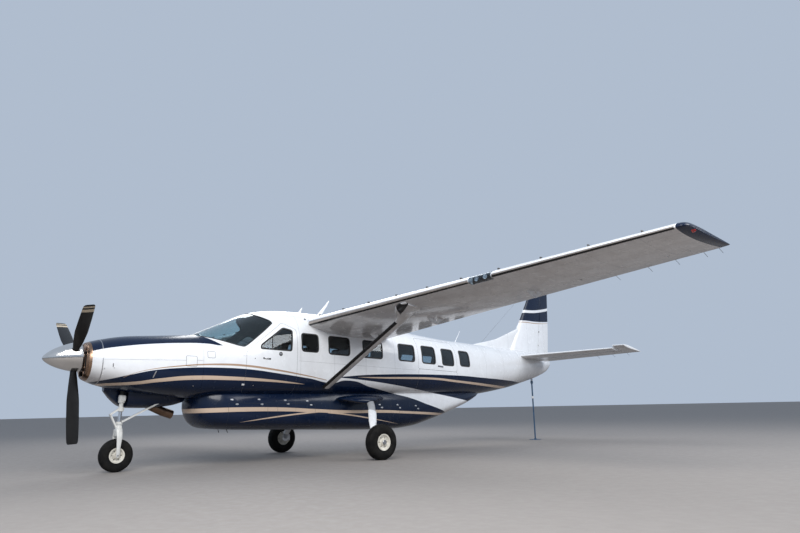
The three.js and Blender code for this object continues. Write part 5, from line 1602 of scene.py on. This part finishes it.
def nose_line(z, ahead=0.0):
    return V((0, (z - NOSE["radius"]) * NOSE_UP + ahead, z))


def nose_rod(low, high, radius, sides=40):
    return rod(nose_line(low), nose_line(high), radius, sides)


nose_strut = shape(
    merge([
        nose_rod(0.945, 1.200, 0.033), nose_rod(1.200, 1.330, 0.033),
        lathe(drum(0.052, -0.062, 0.062, (0.002, 0.004)), nose_line(1.152), V((0, NOSE_UP, 1)), 48),
        bevel_box(nose_line(1.160, 0.014), (0.124, 0.064, 0.080), 0.008),
        bevel_box(nose_line(1.160, -0.020), (0.070, 0.060, 0.050), 0.006),
    ]),
    "nose_strut_parts", [GEAR_PAINT, INSIDE_SHADE], "nose_strut",
)
# The strut's top, under the cowl, takes the near black: painted shade
for face in nose_strut.data.polygons:
    face.material_index = int(face.center.z > SHADED_FROM)
collar = boolean(nose_rod(0.742, 0.788, 0.052), nose_rod(0.70, 0.83, 0.029))
link = boolean(bar(nose_line(0.765), LINK_TOP, 0.044, 0.026, X_AXIS), nose_rod(0.60, 0.90, 0.040))
boolean(link, chin_solid(-0.0003))
shape(merge([collar, link]), "nose_drag_link_parts", GEAR_PAINT, "nose_drag_link")
fork_leg = sweep(smooth_limb(FORK_LEG, 4), Y_AXIS, 28)
head = sweep(smooth_limb([(nose_line(z), w, d) for z, w, d in FORK_HEAD], 5), X_AXIS, 36, 2.4)
boolean(head, pin(V((0, 0, NOSE["radius"])), X_AXIS, 0.3, NOSE["radius"] + 0.014, 96))
fork_parts = [
    head, fork_leg, mirrored(fork_leg),
    boolean(nose_rod(0.955, 1.015, 0.050), nose_rod(0.9, 1.1, 0.0336)),
    bar(nose_line(0.985, -0.040), APEX, 0.052, 0.026, X_AXIS),
    bar(APEX, nose_line(0.690, -0.038), 0.052, 0.026, X_AXIS),
    pin(APEX, X_AXIS, 0.034, 0.014, 24),
]
shape(merge(fork_parts), "nose_fork_parts", GEAR_PAINT, "nose_fork", "nose_fork")
shape(nose_rod(0.60, 0.9447, 0.028, 48), "nose_piston", CHROME, body="nose_fork")
axle = lathe(drum(0.016, -0.122, 0.122, (0.004, 0.004)), (0, 0, NOSE["radius"]), X_AXIS, 40)
shape(axle, "nose_axle", STEEL, body="nose_fork")

# Stand under the tail
POLE, SLEEVE_TOP = 0.019, 1.10
STAND_FOOT = [
    (0, 0.012), (0.034, 0.012), (0.034, 0.030), (POLE, 0.042), (POLE, SLEEVE_TOP), (0, SLEEVE_TOP),
]
STAND_HEAD = [
    (0, SLEEVE_TOP), (POLE, SLEEVE_TOP), (POLE, STAND_TOP - 0.072), (0.034, STAND_TOP - 0.066),
    (0.034, STAND_TOP - 0.002), (0.032, STAND_TOP), (0, STAND_TOP),
]
CLAMP = [
    (0.0192, -0.03), (0.029, -0.03), (0.031, -0.026), (0.031, 0.026), (0.029, 0.03), (0.0192, 0.03),
    (0.0192, -0.03),
]
stand = [lathe(profile, (0, STAND_Y, 0), Z_AXIS, 40) for profile in (STAND_FOOT, STAND_HEAD)]
stand.append(bevel_box((0, STAND_Y, 0.006), (0.22, 0.22, 0.012), 0.003))
shape(merge(stand), "stand_pole", BLUE, "tail_stand")
shape(lathe(CLAMP, (0, STAND_Y, SLEEVE_TOP), Z_AXIS, 40), "stand_clamp", WHITE_PAINT)

# Wing fittings: nubs on the upper leading edge, wicks, lamps, plates and rivets
NUB = [
    (-0.026, 0.006, 0.006), (-0.018, 0.009, 0.020), (0.0, 0.010, 0.026), (0.022, 0.008, 0.030),
    (0.034, 0.005, 0.026),
]
NUB_STEP = 0.7294
WICK = V((0, 0.120, -0.050))
TIP_LAMP = [
    (3.78, 0.02, 0.02), (3.79, 0.056, 0.056), (3.85, 0.076, 0.080), (3.92, 0.064, 0.060),
    (3.96, 0.02, 0.016),
]
TIP_LAMP_X, TIP_LAMP_Z = 7.898, 2.858
COVER_START = 1.25
# Covers in the wing's skin: places along the span, share of the chord, half width, half length, side
COVERS = [
    ([COVER_START + RIB_STEP * i for i in range(9)], 0.25, 0.10, 0.062, -1),
    ([COVER_START + RIB_STEP * i for i in range(9) if i != 2], 0.50, 0.10, 0.062, -1),
    ((1.0, 2.1, 3.9), 0.40, 0.045, 0.045, -1),
    ((1.15, 3.35), 0.30, 0.055, 0.055, 1),
]


def foil_plate(x, share, wide, long, way, out=0.0014, sides=24):
    """A thin oval cover on the wing's skin, above where the way is 1."""
    rings = [[], [], []]
    for i in range(sides):
        a = math.tau * i / sides
        for ring, scale, lift in zip(rings, (1.0, 1.0, 0.9), (-0.003, out * 0.5, out)):
            at = wing_at(x + wide * math.cos(a) * scale)
            t = way * math.sqrt(share + long * math.sin(a) * scale / at["chord"])
            ring.append(on_foil(at, t, lift)[0])
    return loft(rings)


def wicks(at, places, share):
    """Thin trailing rods behind a wing or tail surface."""
    made = []
    for x in places:
        foot = chord_point(at(x), share)
        made.append(tube([foot + V((0, -0.03, 0.003)), foot + V((0, 0.012, -0.002)), foot + WICK], 0.0024, 8))
    return merge(made)


nubs = []
for i in range(10):
    at, normal = on_foil(wing_at(0.82 + NUB_STEP * i), 0.30)
    along = X_AXIS.cross(normal)
    rows = [(at + along * a + normal * (high * 0.4), wide, high) for a, wide, high in NUB]
    nubs.append(sweep(rows, X_AXIS, 16, 2.4))
both_sides(merge(nubs), "wing_nubs", BLACK)
both_sides(wicks(wing_at, (6.30, 6.81, 7.21), 0.998), "aileron_wicks", BLACK, body="aileron_SIDE")
both_sides(wicks(wing_at, (7.60, 7.80), 0.985), "wing_wicks", BLACK)
tail_wicks = wicks(tail_at, (1.9, 2.35, 2.75), 0.992)
tail_wicks.data.transform(droop)
both_sides(tail_wicks, "elevator_wicks", BLACK, body="elevator")
for (word, side), material in zip(SIDES.items(), (RED_LAMP, GREEN_LAMP)):
    lamp = sweep([(V((TIP_LAMP_X * side, y, TIP_LAMP_Z)), w, d) for y, w, d in TIP_LAMP], X_AXIS, 24)
    shape(lamp, "wing_tip_lamp_" + word, material)
covers = [foil_plate(x, share, wide, long, way) for places, share, wide, long, way in COVERS for x in places]
both_sides(merge(covers), "wing_covers", WHITE_PAINT)
rivets = [(x, share + 0.008) for share in SPARS[:2] for x in stations(0.9, TIP_CAP - 0.05, 0.055)]
for x in stations(RIB_START, RIB_START + RIB_STEP * 9, RIB_STEP):
    rivets += [(x + 0.010, share) for share in stations(0.10, 0.64, 0.035)]
rivets = [on_foil(wing_at(x), way * math.sqrt(share)) for x, share in rivets for way in (1, -1)]
both_sides(domes(rivets), "wing_rivets", WHITE_PAINT)

# Covers, latches, handles and small fittings on the body


def block(degrees, size, y, z, side=1, table=FUSELAGE, lift=0.0, bevel=0.003):
    """A small bevelled block that stands on the skin, turned on it by an angle."""
    at, normal = on_skin(y, z, side, lift, table)
    return bevel_box(at, size, bevel, facing(normal) @ Matrix.Rotation(math.radians(degrees), 3, "Z"))


def quad(y0, y1, z0, z1):
    lean = NOSE_UP * (y1 - y0)
    return [(y0, z0), (y1, z0 - lean), (y1, z1 - lean), (y0, z1)]


# Outlines as front and rear station, low and high; places as station and height
COWL_COVERS = [(0.820, 0.990, 1.667, 1.833), (1.170, 1.290, 1.813, 1.918)]
POD_DOORS = [(1.62, 2.36, 0.68, 1.06), (2.56, 3.36, 0.66, 1.04), (4.86, 5.44, 0.58, 0.96)]
LATCHES = [
    (1.679, 1.112), (1.768, 1.031), (2.188, 1.109), (2.244, 1.024), (2.714, 1.091), (2.772, 1.022),
    (3.182, 1.072), (3.266, 0.997), (4.915, 0.979), (4.976, 0.920), (5.394, 0.966), (5.461, 0.905),
    (5.916, 0.942), (5.988, 0.880),
]
BODY_DOTS = [
    (-0.384, 1.615), (-0.273, 1.677), (-0.250, 1.625), (0.928, 1.470), (0.973, 1.341), (2.011, 1.349),
    (3.547, 2.425), (3.561, 2.342),
]
DRAINS, DRAIN_X = (1.80, 2.90, 5.30), 0.18
# Corner radius of the cowl covers, and width of the dark rim round them, a painted shadow of their recessed
# edges
COVER_CORNER, COVER_SHADOW_RIM = 0.02, 0.005
DIVIDER = [(2.345, 1.985), (2.359, 1.985), (2.383, 2.345), (2.369, 2.345)]
LOCK_RING = [(0, 0.0), (0.036, 0.0), (0.036, 0.003), (0.030, 0.005), (0.026, 0.002), (0, 0.002)]
LOCK = [(0, 0.0), (0.016, 0.0), (0.016, 0.004), (0.010, 0.006), (0, 0.006)]
for word, side in SIDES.items():
    plates, darks, fittings = [], [], []
    for edges in COWL_COVERS:
        outline = quad(*edges)
        plates.append(surface_plate(arc_corners(outline, COVER_CORNER, 4), side, 0.0016))
        # A dark plate a little larger than each cover lies under it and shows as a rim: painted shadow
        outline = arc_corners(grown(outline, COVER_SHADOW_RIM), COVER_CORNER + COVER_SHADOW_RIM, 4)
        darks.append(surface_plate(outline, side, 0.0006))
    for y, z in LATCHES:
        fittings.append(block(-2, (0.052, 0.022, 0.008), y, z, side, POD, bevel=0.0035))
        fittings.append(block(-2, (0.016, 0.030, 0.011), y + 0.010, z, side, POD))
    fittings += [block(0, (0.016, 0.016, 0.006), y, z, side) for y, z in BODY_DOTS]
    fittings.append(block(-20, (0.016, 0.120, 0.008), 0.345, 1.525, side))
    darks.append(block(0, (0.010, 0.060, 0.006), -0.269, 1.667, side))
    for edges in POD_DOORS:
        ring = surface_path(arc_corners(quad(*edges), 0.04, 4), side, -0.0008, POD, step=0.04)
        darks.append(loop_tube([place for place, _ in ring], 0.0022, 6))
    at, normal = on_skin(3.146, 2.617, side)
    darks.append(rod(at - normal * 0.004, at + normal * 0.002, 0.021, 24))
    darks.append(rod((0.030 * side, 11.071, 2.884), (0.062 * side, 11.071, 2.884), 0.016, 20))
    for y in DRAINS:
        x, low = DRAIN_X * side, pod_bottom(DRAIN_X, y)
        darks.append(tube([(x, y, low + 0.02), (x, y + 0.03, low - 0.055)], 0.006, 12))
    shape(merge(plates), "cowl_covers_" + word, BODY_PAINT)
    shape(merge(darks), "dark_fittings_and_shadow_rims_" + word, RUBBER)
    shape(merge(fittings), "latches_" + word, ALUMINIUM)

    trim = [block(-2, (0.150, 0.030, 0.006), 2.238, 1.823, side, bevel=0.0028)]
    handle = [block(-2, (0.120, 0.012, 0.014), 2.238, 1.826, side, lift=0.004)]
    at, normal = on_skin(2.009, 1.817, side)
    trim.append(pin(at, normal, 0.002, 0.009, 20))
    at, normal = on_skin(2.516, 1.913, side)
    trim.append(lathe(LOCK_RING, at, normal, 32))
    handle.append(lathe(LOCK, at, normal, 24))
    divider = common(prism(DIVIDER, 0.3 * side, 1.0 * side), rim_shell, keep=True)
    trim.append(common(divider, through(CREW_WINDOW, side, 0.03)))
    shape(merge(trim), "crew_door_trim_" + word, RUBBER, body="crew_door_" + word)
    shape(merge(handle), "crew_door_handle_" + word, CHROME, body="crew_door_" + word)
    hinges = [block(0, (0.050, 0.032, 0.008), 1.815, z, side) for z in (1.873, 1.363)]
    shape(merge(hinges), "crew_door_hinges_" + word, WHITE_PAINT)

for door, side, y, z in (("cargo", 1, 6.568, 1.784), ("passenger", -1, 6.80, 1.765)):
    plate = block(-2, (0.170, 0.034, 0.006), y, z, side, bevel=0.0028)
    shape(plate, door + "_handle_plate", RUBBER, body=door + "_door_upper")
    handle = block(-2, (0.130, 0.014, 0.014), y, z, side, lift=0.004)
    shape(handle, door + "_handle", CHROME, body=door + "_door_upper")

# Rows of rivets along the seams of the body and the pod
PITCH_STEP = 0.035
BODY_RIVETS = [(y, 2.05 - (y - REAR_WALL) * 0.02) for y in stations(7.74, 10.1, 0.04)]
for k in range(4):
    BODY_RIVETS += [(BODY_SEAM + BODY_SEAM_STEP * k + 0.012, z) for z in stations(1.66, 1.90, PITCH_STEP)]
for y, low, high, step in (
    (REAR_WALL + 0.015, 1.35, 2.36, PITCH_STEP), (REAR_WALL - 0.015, 1.35, 2.36, PITCH_STEP),
    (FIREWALL - 0.015, 1.35, 2.10, PITCH_STEP), (RING_SPLIT + 0.015, 1.50, 1.98, 0.03),
):
    BODY_RIVETS += [(y, z) for z in stations(low, high, step)]
BODY_RIVETS += [(y, COWL_SPLIT + 0.012) for y in stations(-0.38, 1.06, 0.045)]
POD_RIVETS = [(y, 0.655 - (y - 1.7) * 0.022) for y in stations(1.66, 3.3, PITCH_STEP)]
POD_RIVETS += [(y, 0.60 - (y - 4.7) * 0.02) for y in stations(4.8, 5.9, PITCH_STEP)]
for word, side in SIDES.items():
    found = [on_skin(y, z, side) for y, z in BODY_RIVETS]
    shape(domes(found, 0.0032, 0.0011), "body_rivets_" + word, BODY_PAINT)
    found = [on_skin(y, z, side, 0.0, POD) for y, z in POD_RIVETS]
    shape(domes(found, 0.0034, 0.0012), "pod_rivets_" + word, ALUMINIUM)

# Antennas, as station, height, thickness and chord, and the wire from the roof to the fin
BLADES = [
    [
        (3.36, 2.790, 0.014, 0.080), (3.40, 2.860, 0.010, 0.050), (3.442, 2.935, 0.006, 0.022),
        (3.448, 2.942, 0.004, 0.014),
    ],
    [
        (3.84, 2.770, 0.020, 0.130), (3.89, 2.860, 0.016, 0.085), (4.04, 3.050, 0.010, 0.048),
        (4.105, 3.146, 0.006, 0.020),
    ],
    [
        (7.80, 2.420, 0.010, 0.036), (7.86, 2.520, 0.007, 0.018), (8.00, 2.730, 0.005, 0.010),
        (8.005, 2.738, 0.004, 0.006),
    ],
]
BEACON = [(0, 0.0), (0.045, 0.0), (0.045, 0.012), (0.036, 0.016), (0.034, 0.05), (0.024, 0.068), (0, 0.074)]
blades = [sweep([(V((0, y, z)), wide, deep) for y, z, wide, deep in rows], X_AXIS, 20) for rows in BLADES]
shape(merge(blades), "roof_antennas", WHITE_PAINT)
wire = merge([
    tube([(0, 8.74, 2.47), (0, 11.115, 4.37)], 0.0016, 8),
    rod((0, 8.74, 2.40), (0, 8.74, 2.475), 0.010), rod((0, 11.08, 4.36), (0, 11.125, 4.372), 0.008),
])
shape(wire, "antenna_wire", BLACK)
shape(lathe(BEACON, (0, 11.34, 4.571), Z_AXIS, 32), "fin_beacon", RED_LAMP)

# Cabin inside: carpet, rails, seats with padded cushions, instrument panel
for node, material in (("cabin_floor", CARPET), ("engine", STEEL)):
    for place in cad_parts[node].material_slots:
        place.material = material

SEAT_ROWS = {"left": (0.33, (2.18, 3.15, 3.95, 4.75)), "right": (-0.33, (2.18, 3.15, 3.95, 4.75, 5.55))}
# Rows of a cushion: place along it, width and depth
PAN = [
    (0.004, 0.30, 0.050), (0.020, 0.37, 0.076), (0.060, 0.385, 0.084), (0.340, 0.385, 0.080),
    (0.395, 0.375, 0.070), (0.412, 0.33, 0.050),
]
BACK = [
    (0.000, 0.30, 0.050), (0.020, 0.36, 0.072), (0.080, 0.385, 0.080), (0.330, 0.385, 0.078),
    (0.400, 0.36, 0.070), (0.430, 0.25, 0.050), (0.450, 0.24, 0.050), (0.475, 0.27, 0.070),
    (0.560, 0.26, 0.066), (0.588, 0.20, 0.040),
]
BACK_FOOT, BACK_HEAD = V((0, 0.452, 1.575)), V((0, 0.553, 2.175))
FRONT_LEG = [(0.075, 1.228), (0.090, 1.260), (0.150, 1.480), (0.150, 1.508)]
REAR_LEG = [(0.365, 1.228), (0.350, 1.260), (0.290, 1.480), (0.290, 1.508)]
# Sewn channels: their places across the seat, along the pan and up the back
PLEATS, PAN_PLEAT, BACK_PLEAT = (-0.105, -0.035, 0.035, 0.105), 0.33, 0.335
VOXEL, PRESSURE, FRAMES = 0.010, 4.0, 20
MOST_MOVE = 0.011


def points_of(mesh):
    places = np.empty(len(mesh.vertices) * 3)
    mesh.vertices.foreach_get("co", places)
    return places.reshape(-1, 3)


def cushion(rows, power):
    """A pad blown up as closed cloth, with no vertex further than a limit from where it started."""
    made = sweep(rows, X_AXIS, 40, power)
    step = made.modifiers.new("even", "REMESH")
    step.mode = "VOXEL"
    step.voxel_size = VOXEL
    even = bpy.data.meshes.new_from_object(evaluated(made))
    made.modifiers.remove(step)
    made.data = even
    start = points_of(even)
    cloth = made.modifiers.new("cloth", "CLOTH")
    cloth.settings.quality = 4
    cloth.settings.mass = 0.3
    cloth.settings.use_pressure = True
    cloth.settings.uniform_pressure_force = PRESSURE
    cloth.settings.effector_weights.gravity = 0
    cloth.point_cache.frame_end = FRAMES
    for number in range(1, FRAMES + 1):
        bpy.context.scene.frame_set(number)
    move = points_of(evaluated(made).data) - start
    length = np.maximum(np.linalg.norm(move, axis=1), 1e-9)
    move *= (np.minimum(length, MOST_MOVE) / length)[:, None]
    made.modifiers.remove(cloth)
    even.vertices.foreach_set("co", (start + move).ravel())
    even.update()
    bpy.context.scene.frame_set(1)
    return made


def pleated(made, across, lines, along, deep=0.007, wide=0.010):
    """Presses sewn channels into a cushion, at places along a direction."""
    normals = [v.normal.copy() for v in made.data.vertices]
    for vertex, normal in zip(made.data.vertices, normals):
        for place in lines:
            off = (vertex.co.dot(across) - place) / wide
            if abs(off) < 2.5 and abs(normal.dot(along)) > 0.5:
                vertex.co -= normal * deep * math.exp(-off * off)


pan_cushion = cushion([(V((0, y, 1.545)), wide, high) for y, wide, high in PAN], 3.6)
back_line = BACK_HEAD - BACK_FOOT
back_up = back_line.normalized()
back_rows = [(BACK_FOOT + back_line * (up / BACK[-1][0]), wide, deep) for up, wide, deep in BACK]
back_cushion = cushion(back_rows, 3.2)
pleated(pan_cushion, X_AXIS, PLEATS, Z_AXIS)
pleated(pan_cushion, Y_AXIS, (PAN_PLEAT,), Z_AXIS)
pleated(back_cushion, X_AXIS, PLEATS, Y_AXIS)
pleated(back_cushion, back_up, (BACK_FOOT.dot(back_up) + BACK_PLEAT,), Y_AXIS)
pan_edge = arc_corners([(-0.197, 0.006), (0.197, 0.006), (0.197, 0.416), (-0.197, 0.416)], 0.05, 6)
pan_piping = loop_tube([V((x, y, 1.553)) for x, y in pan_edge], 0.004, 6)
seat_cushions = merge([pan_cushion, back_cushion, pan_piping])
frame_parts = [rod((-0.180, y, 1.508), (0.180, y, 1.508), 0.011, 12) for y in (0.03, 0.40)]
for x in (-0.190, 0.190):
    frame_parts.append(tube([(x, 0.405, 1.508), (x, 0.455, 1.560), (x, 0.520, 1.900)], 0.010))
for x in (-0.105, 0.105):
    for leg in (FRONT_LEG, REAR_LEG):
        frame_parts.append(tube([(x, y, z) for y, z in leg], 0.010))
    frame_parts.append(bevel_box((x * 0.99, 0.22, 1.2235), (0.020, 0.318, 0.015), 0.003))
frame_parts.append(bevel_box((0, 0.22, 1.505), (0.300, 0.300, 0.006), 0.002))
seat_frame = merge(frame_parts)
for word, (x, rows) in SEAT_ROWS.items():
    rail_at = (x, (rows[0] + rows[-1]) / 2 + 0.25, 1.2325)
    cushions, frames = [], [bevel_box(rail_at, (0.078, rows[-1] - rows[0] + 0.298, 0.033))]
    for y in rows:
        for source, made in ((seat_cushions, cushions), (seat_frame, frames)):
            twin = copy(source)
            twin.data.transform(Matrix.Translation((x, y, 0)))
            made.append(twin)
    padded = shape(merge(cushions), "seat_cushions_" + word, LEATHER, "seats_" + word, angle=60)
    shape(merge(frames), "seat_frames_" + word, ALUMINIUM, angle=40)

# Instrument panel: places on its face are counted across and down from the middle of its top edge
PANEL_BACK = FIREWALL + WALL + 0.004
FACE_TOP, FACE_LOW = V((0, 1.786, 1.884)), V((0, 1.600, 1.565))
PANEL = [(PANEL_BACK, 1.565), (PANEL_BACK, 2.012), (1.56, 2.032), (1.786, 2.008), FACE_TOP.yz, FACE_LOW.yz]
SCREEN_SIZE = (0.24, 0.17)
DIAL = [
    (0, 0.001), (0.030, 0.001), (0.034, 0.004), (0.034, 0.008), (0.030, 0.008), (0.029, 0.004),
    (0, 0.004),
]
KNOB = [(0, 0.0), (0.010, 0.0), (0.009, 0.018), (0, 0.020)]
panel = common(prism(arc_corners(PANEL, 0.018, 4), -1, 1), skin(FUSELAGE, FIREWALL, 2.2, WALL + 0.006))
shape(panel, "panel_body", PANEL_TRIM, "instrument_panel")
face_down = (FACE_LOW - FACE_TOP).normalized()
face_out = V((0, -face_down.z, face_down.y)).normalized()
face_turn = Matrix((X_AXIS, -face_down, face_out)).transposed()


def on_panel(x, down):
    return FACE_TOP + X_AXIS * x + face_down * down


bezels, screens, dials = [], [], []
for x in (-0.40, 0.0, 0.40):
    place, (wide, high) = on_panel(x, 0.11), SCREEN_SIZE
    bezels.append(bevel_box(place + face_out * 0.006, (wide + 0.036, high + 0.030, 0.014), 0.004, face_turn))
    screens.append(bevel_box(place + face_out * 0.0135, (wide, high, 0.002), 0.0006, face_turn))
for x in (-0.61, -0.20, 0.20, 0.61):
    dials += [lathe(DIAL, on_panel(x, down), face_out, 32) for down in (0.07, 0.15)]
dials += [lathe(KNOB, on_panel(-0.30 + 0.075 * i, 0.27), face_out, 16) for i in range(9)]
shape(merge(bezels), "panel_bezels", BLACK)
shape(merge(screens), "panel_screens", SCREEN)
shape(merge(dials), "panel_dials", ALUMINIUM)

# Control wheels with their shafts, and the pedestal with its levers
HORN = [
    (-0.150, 0.060), (-0.165, 0.010), (-0.130, -0.045), (-0.050, -0.030), (0.050, -0.030), (0.130, -0.045),
    (0.165, 0.010), (0.150, 0.060),
]
controls = []
for x in (-0.33, 0.33):
    wheel_at = V((x, 1.93, 1.74))
    controls.append(rod((x, 1.70, 1.735), wheel_at, 0.014))
    rows = [(wheel_at + V((a, 0.006, b)), 0.026, 0.026) for a, b in HORN]
    controls.append(sweep(smooth_limb(rows, 3), Y_AXIS, 14))
controls.append(bevel_box((0, 1.72, 1.640), (0.150, 0.16, 0.17), 0.012))
for x, high in ((-0.04, 0.10), (0.0, 0.085), (0.04, 0.095)):
    controls.append(rod((x, 1.74, 1.71), (x, 1.77, 1.72 + high), 0.005, 12))
    controls.append(bevel_box((x, 1.772, 1.73 + high), (0.026, 0.030, 0.036), 0.008))
shape(merge(controls), "cockpit_controls", BLACK)

for made in (body_solid, rim_shell, seat_cushions, seat_frame):
    drop(made)
bpy.context.view_layer.update()

# Camera, as solved from the photo: yaw, pitch and roll in degrees, focal length in pixels
YAW, PITCH, ROLL = math.radians(49.712), math.radians(12.420), math.radians(-1.267)
CAMERA_AT = V((11.152, -3.356 - MIDDLE, 0.923))
PHOTO_WIDTH, FOCAL, SENSOR = 800, 637.967, 36


def linked(name, data):
    made = bpy.data.objects.new(name, data)
    bpy.context.scene.collection.objects.link(made)
    return made


look = V((-math.sin(YAW) * math.cos(PITCH), math.cos(YAW) * math.cos(PITCH), math.sin(PITCH)))
level = V((math.cos(YAW), math.sin(YAW), 0))
over = level.cross(look)
right = level * math.cos(ROLL) + over * math.sin(ROLL)
top = over * math.cos(ROLL) - level * math.sin(ROLL)
camera = linked("camera", bpy.data.cameras.new("camera"))
bpy.context.scene.camera = camera
camera.matrix_world = Matrix.Translation(CAMERA_AT) @ Matrix((right, top, -look)).transposed().to_4x4()
camera.data.sensor_width = SENSOR
camera.data.lens = SENSOR * FOCAL / PHOTO_WIDTH
camera.data.clip_end = 400

# Floor and sky
bpy.context.scene.view_settings.view_transform = "Standard"
bpy.ops.mesh.primitive_plane_add(size=400, location=(0, 0, 0))
floor = bpy.context.object
floor.name = "floor"
floor.data.materials.append(FLOOR)

world = bpy.data.worlds.new("studio")
bpy.context.scene.world = world
world.use_nodes = True
world.node_tree.nodes["Background"].inputs[0].default_value = (0.70, 0.82, 1.0, 1)
world.node_tree.nodes["Background"].inputs[1].default_value = 0.62

# Lights: place, what they face, size, power and colour
LIGHTS = {
    "key": ((11, -10, 10), (0, 0, 1.5), (9, 9), 2050, (1, 0.98, 0.95)),
    "fill": ((13, 6, 9), (0, 1, 1.5), (10, 6), 900, (1, 1, 1)),
    "rim": ((-10, 4, 11), (0, 0, 1.5), (8, 8), 800, (1, 1, 1)),
}
for name, (where, aim, size, power, color) in LIGHTS.items():
    lamp = linked(name, bpy.data.lights.new(name, "AREA"))
    lamp.data.shape = "RECTANGLE"
    lamp.data.size, lamp.data.size_y = size
    lamp.data.energy = power
    lamp.data.color = color
    lamp.location = where
    lamp.rotation_mode = "QUATERNION"
    lamp.rotation_quaternion = (V(aim) - V(where)).to_track_quat("-Z", "Y")
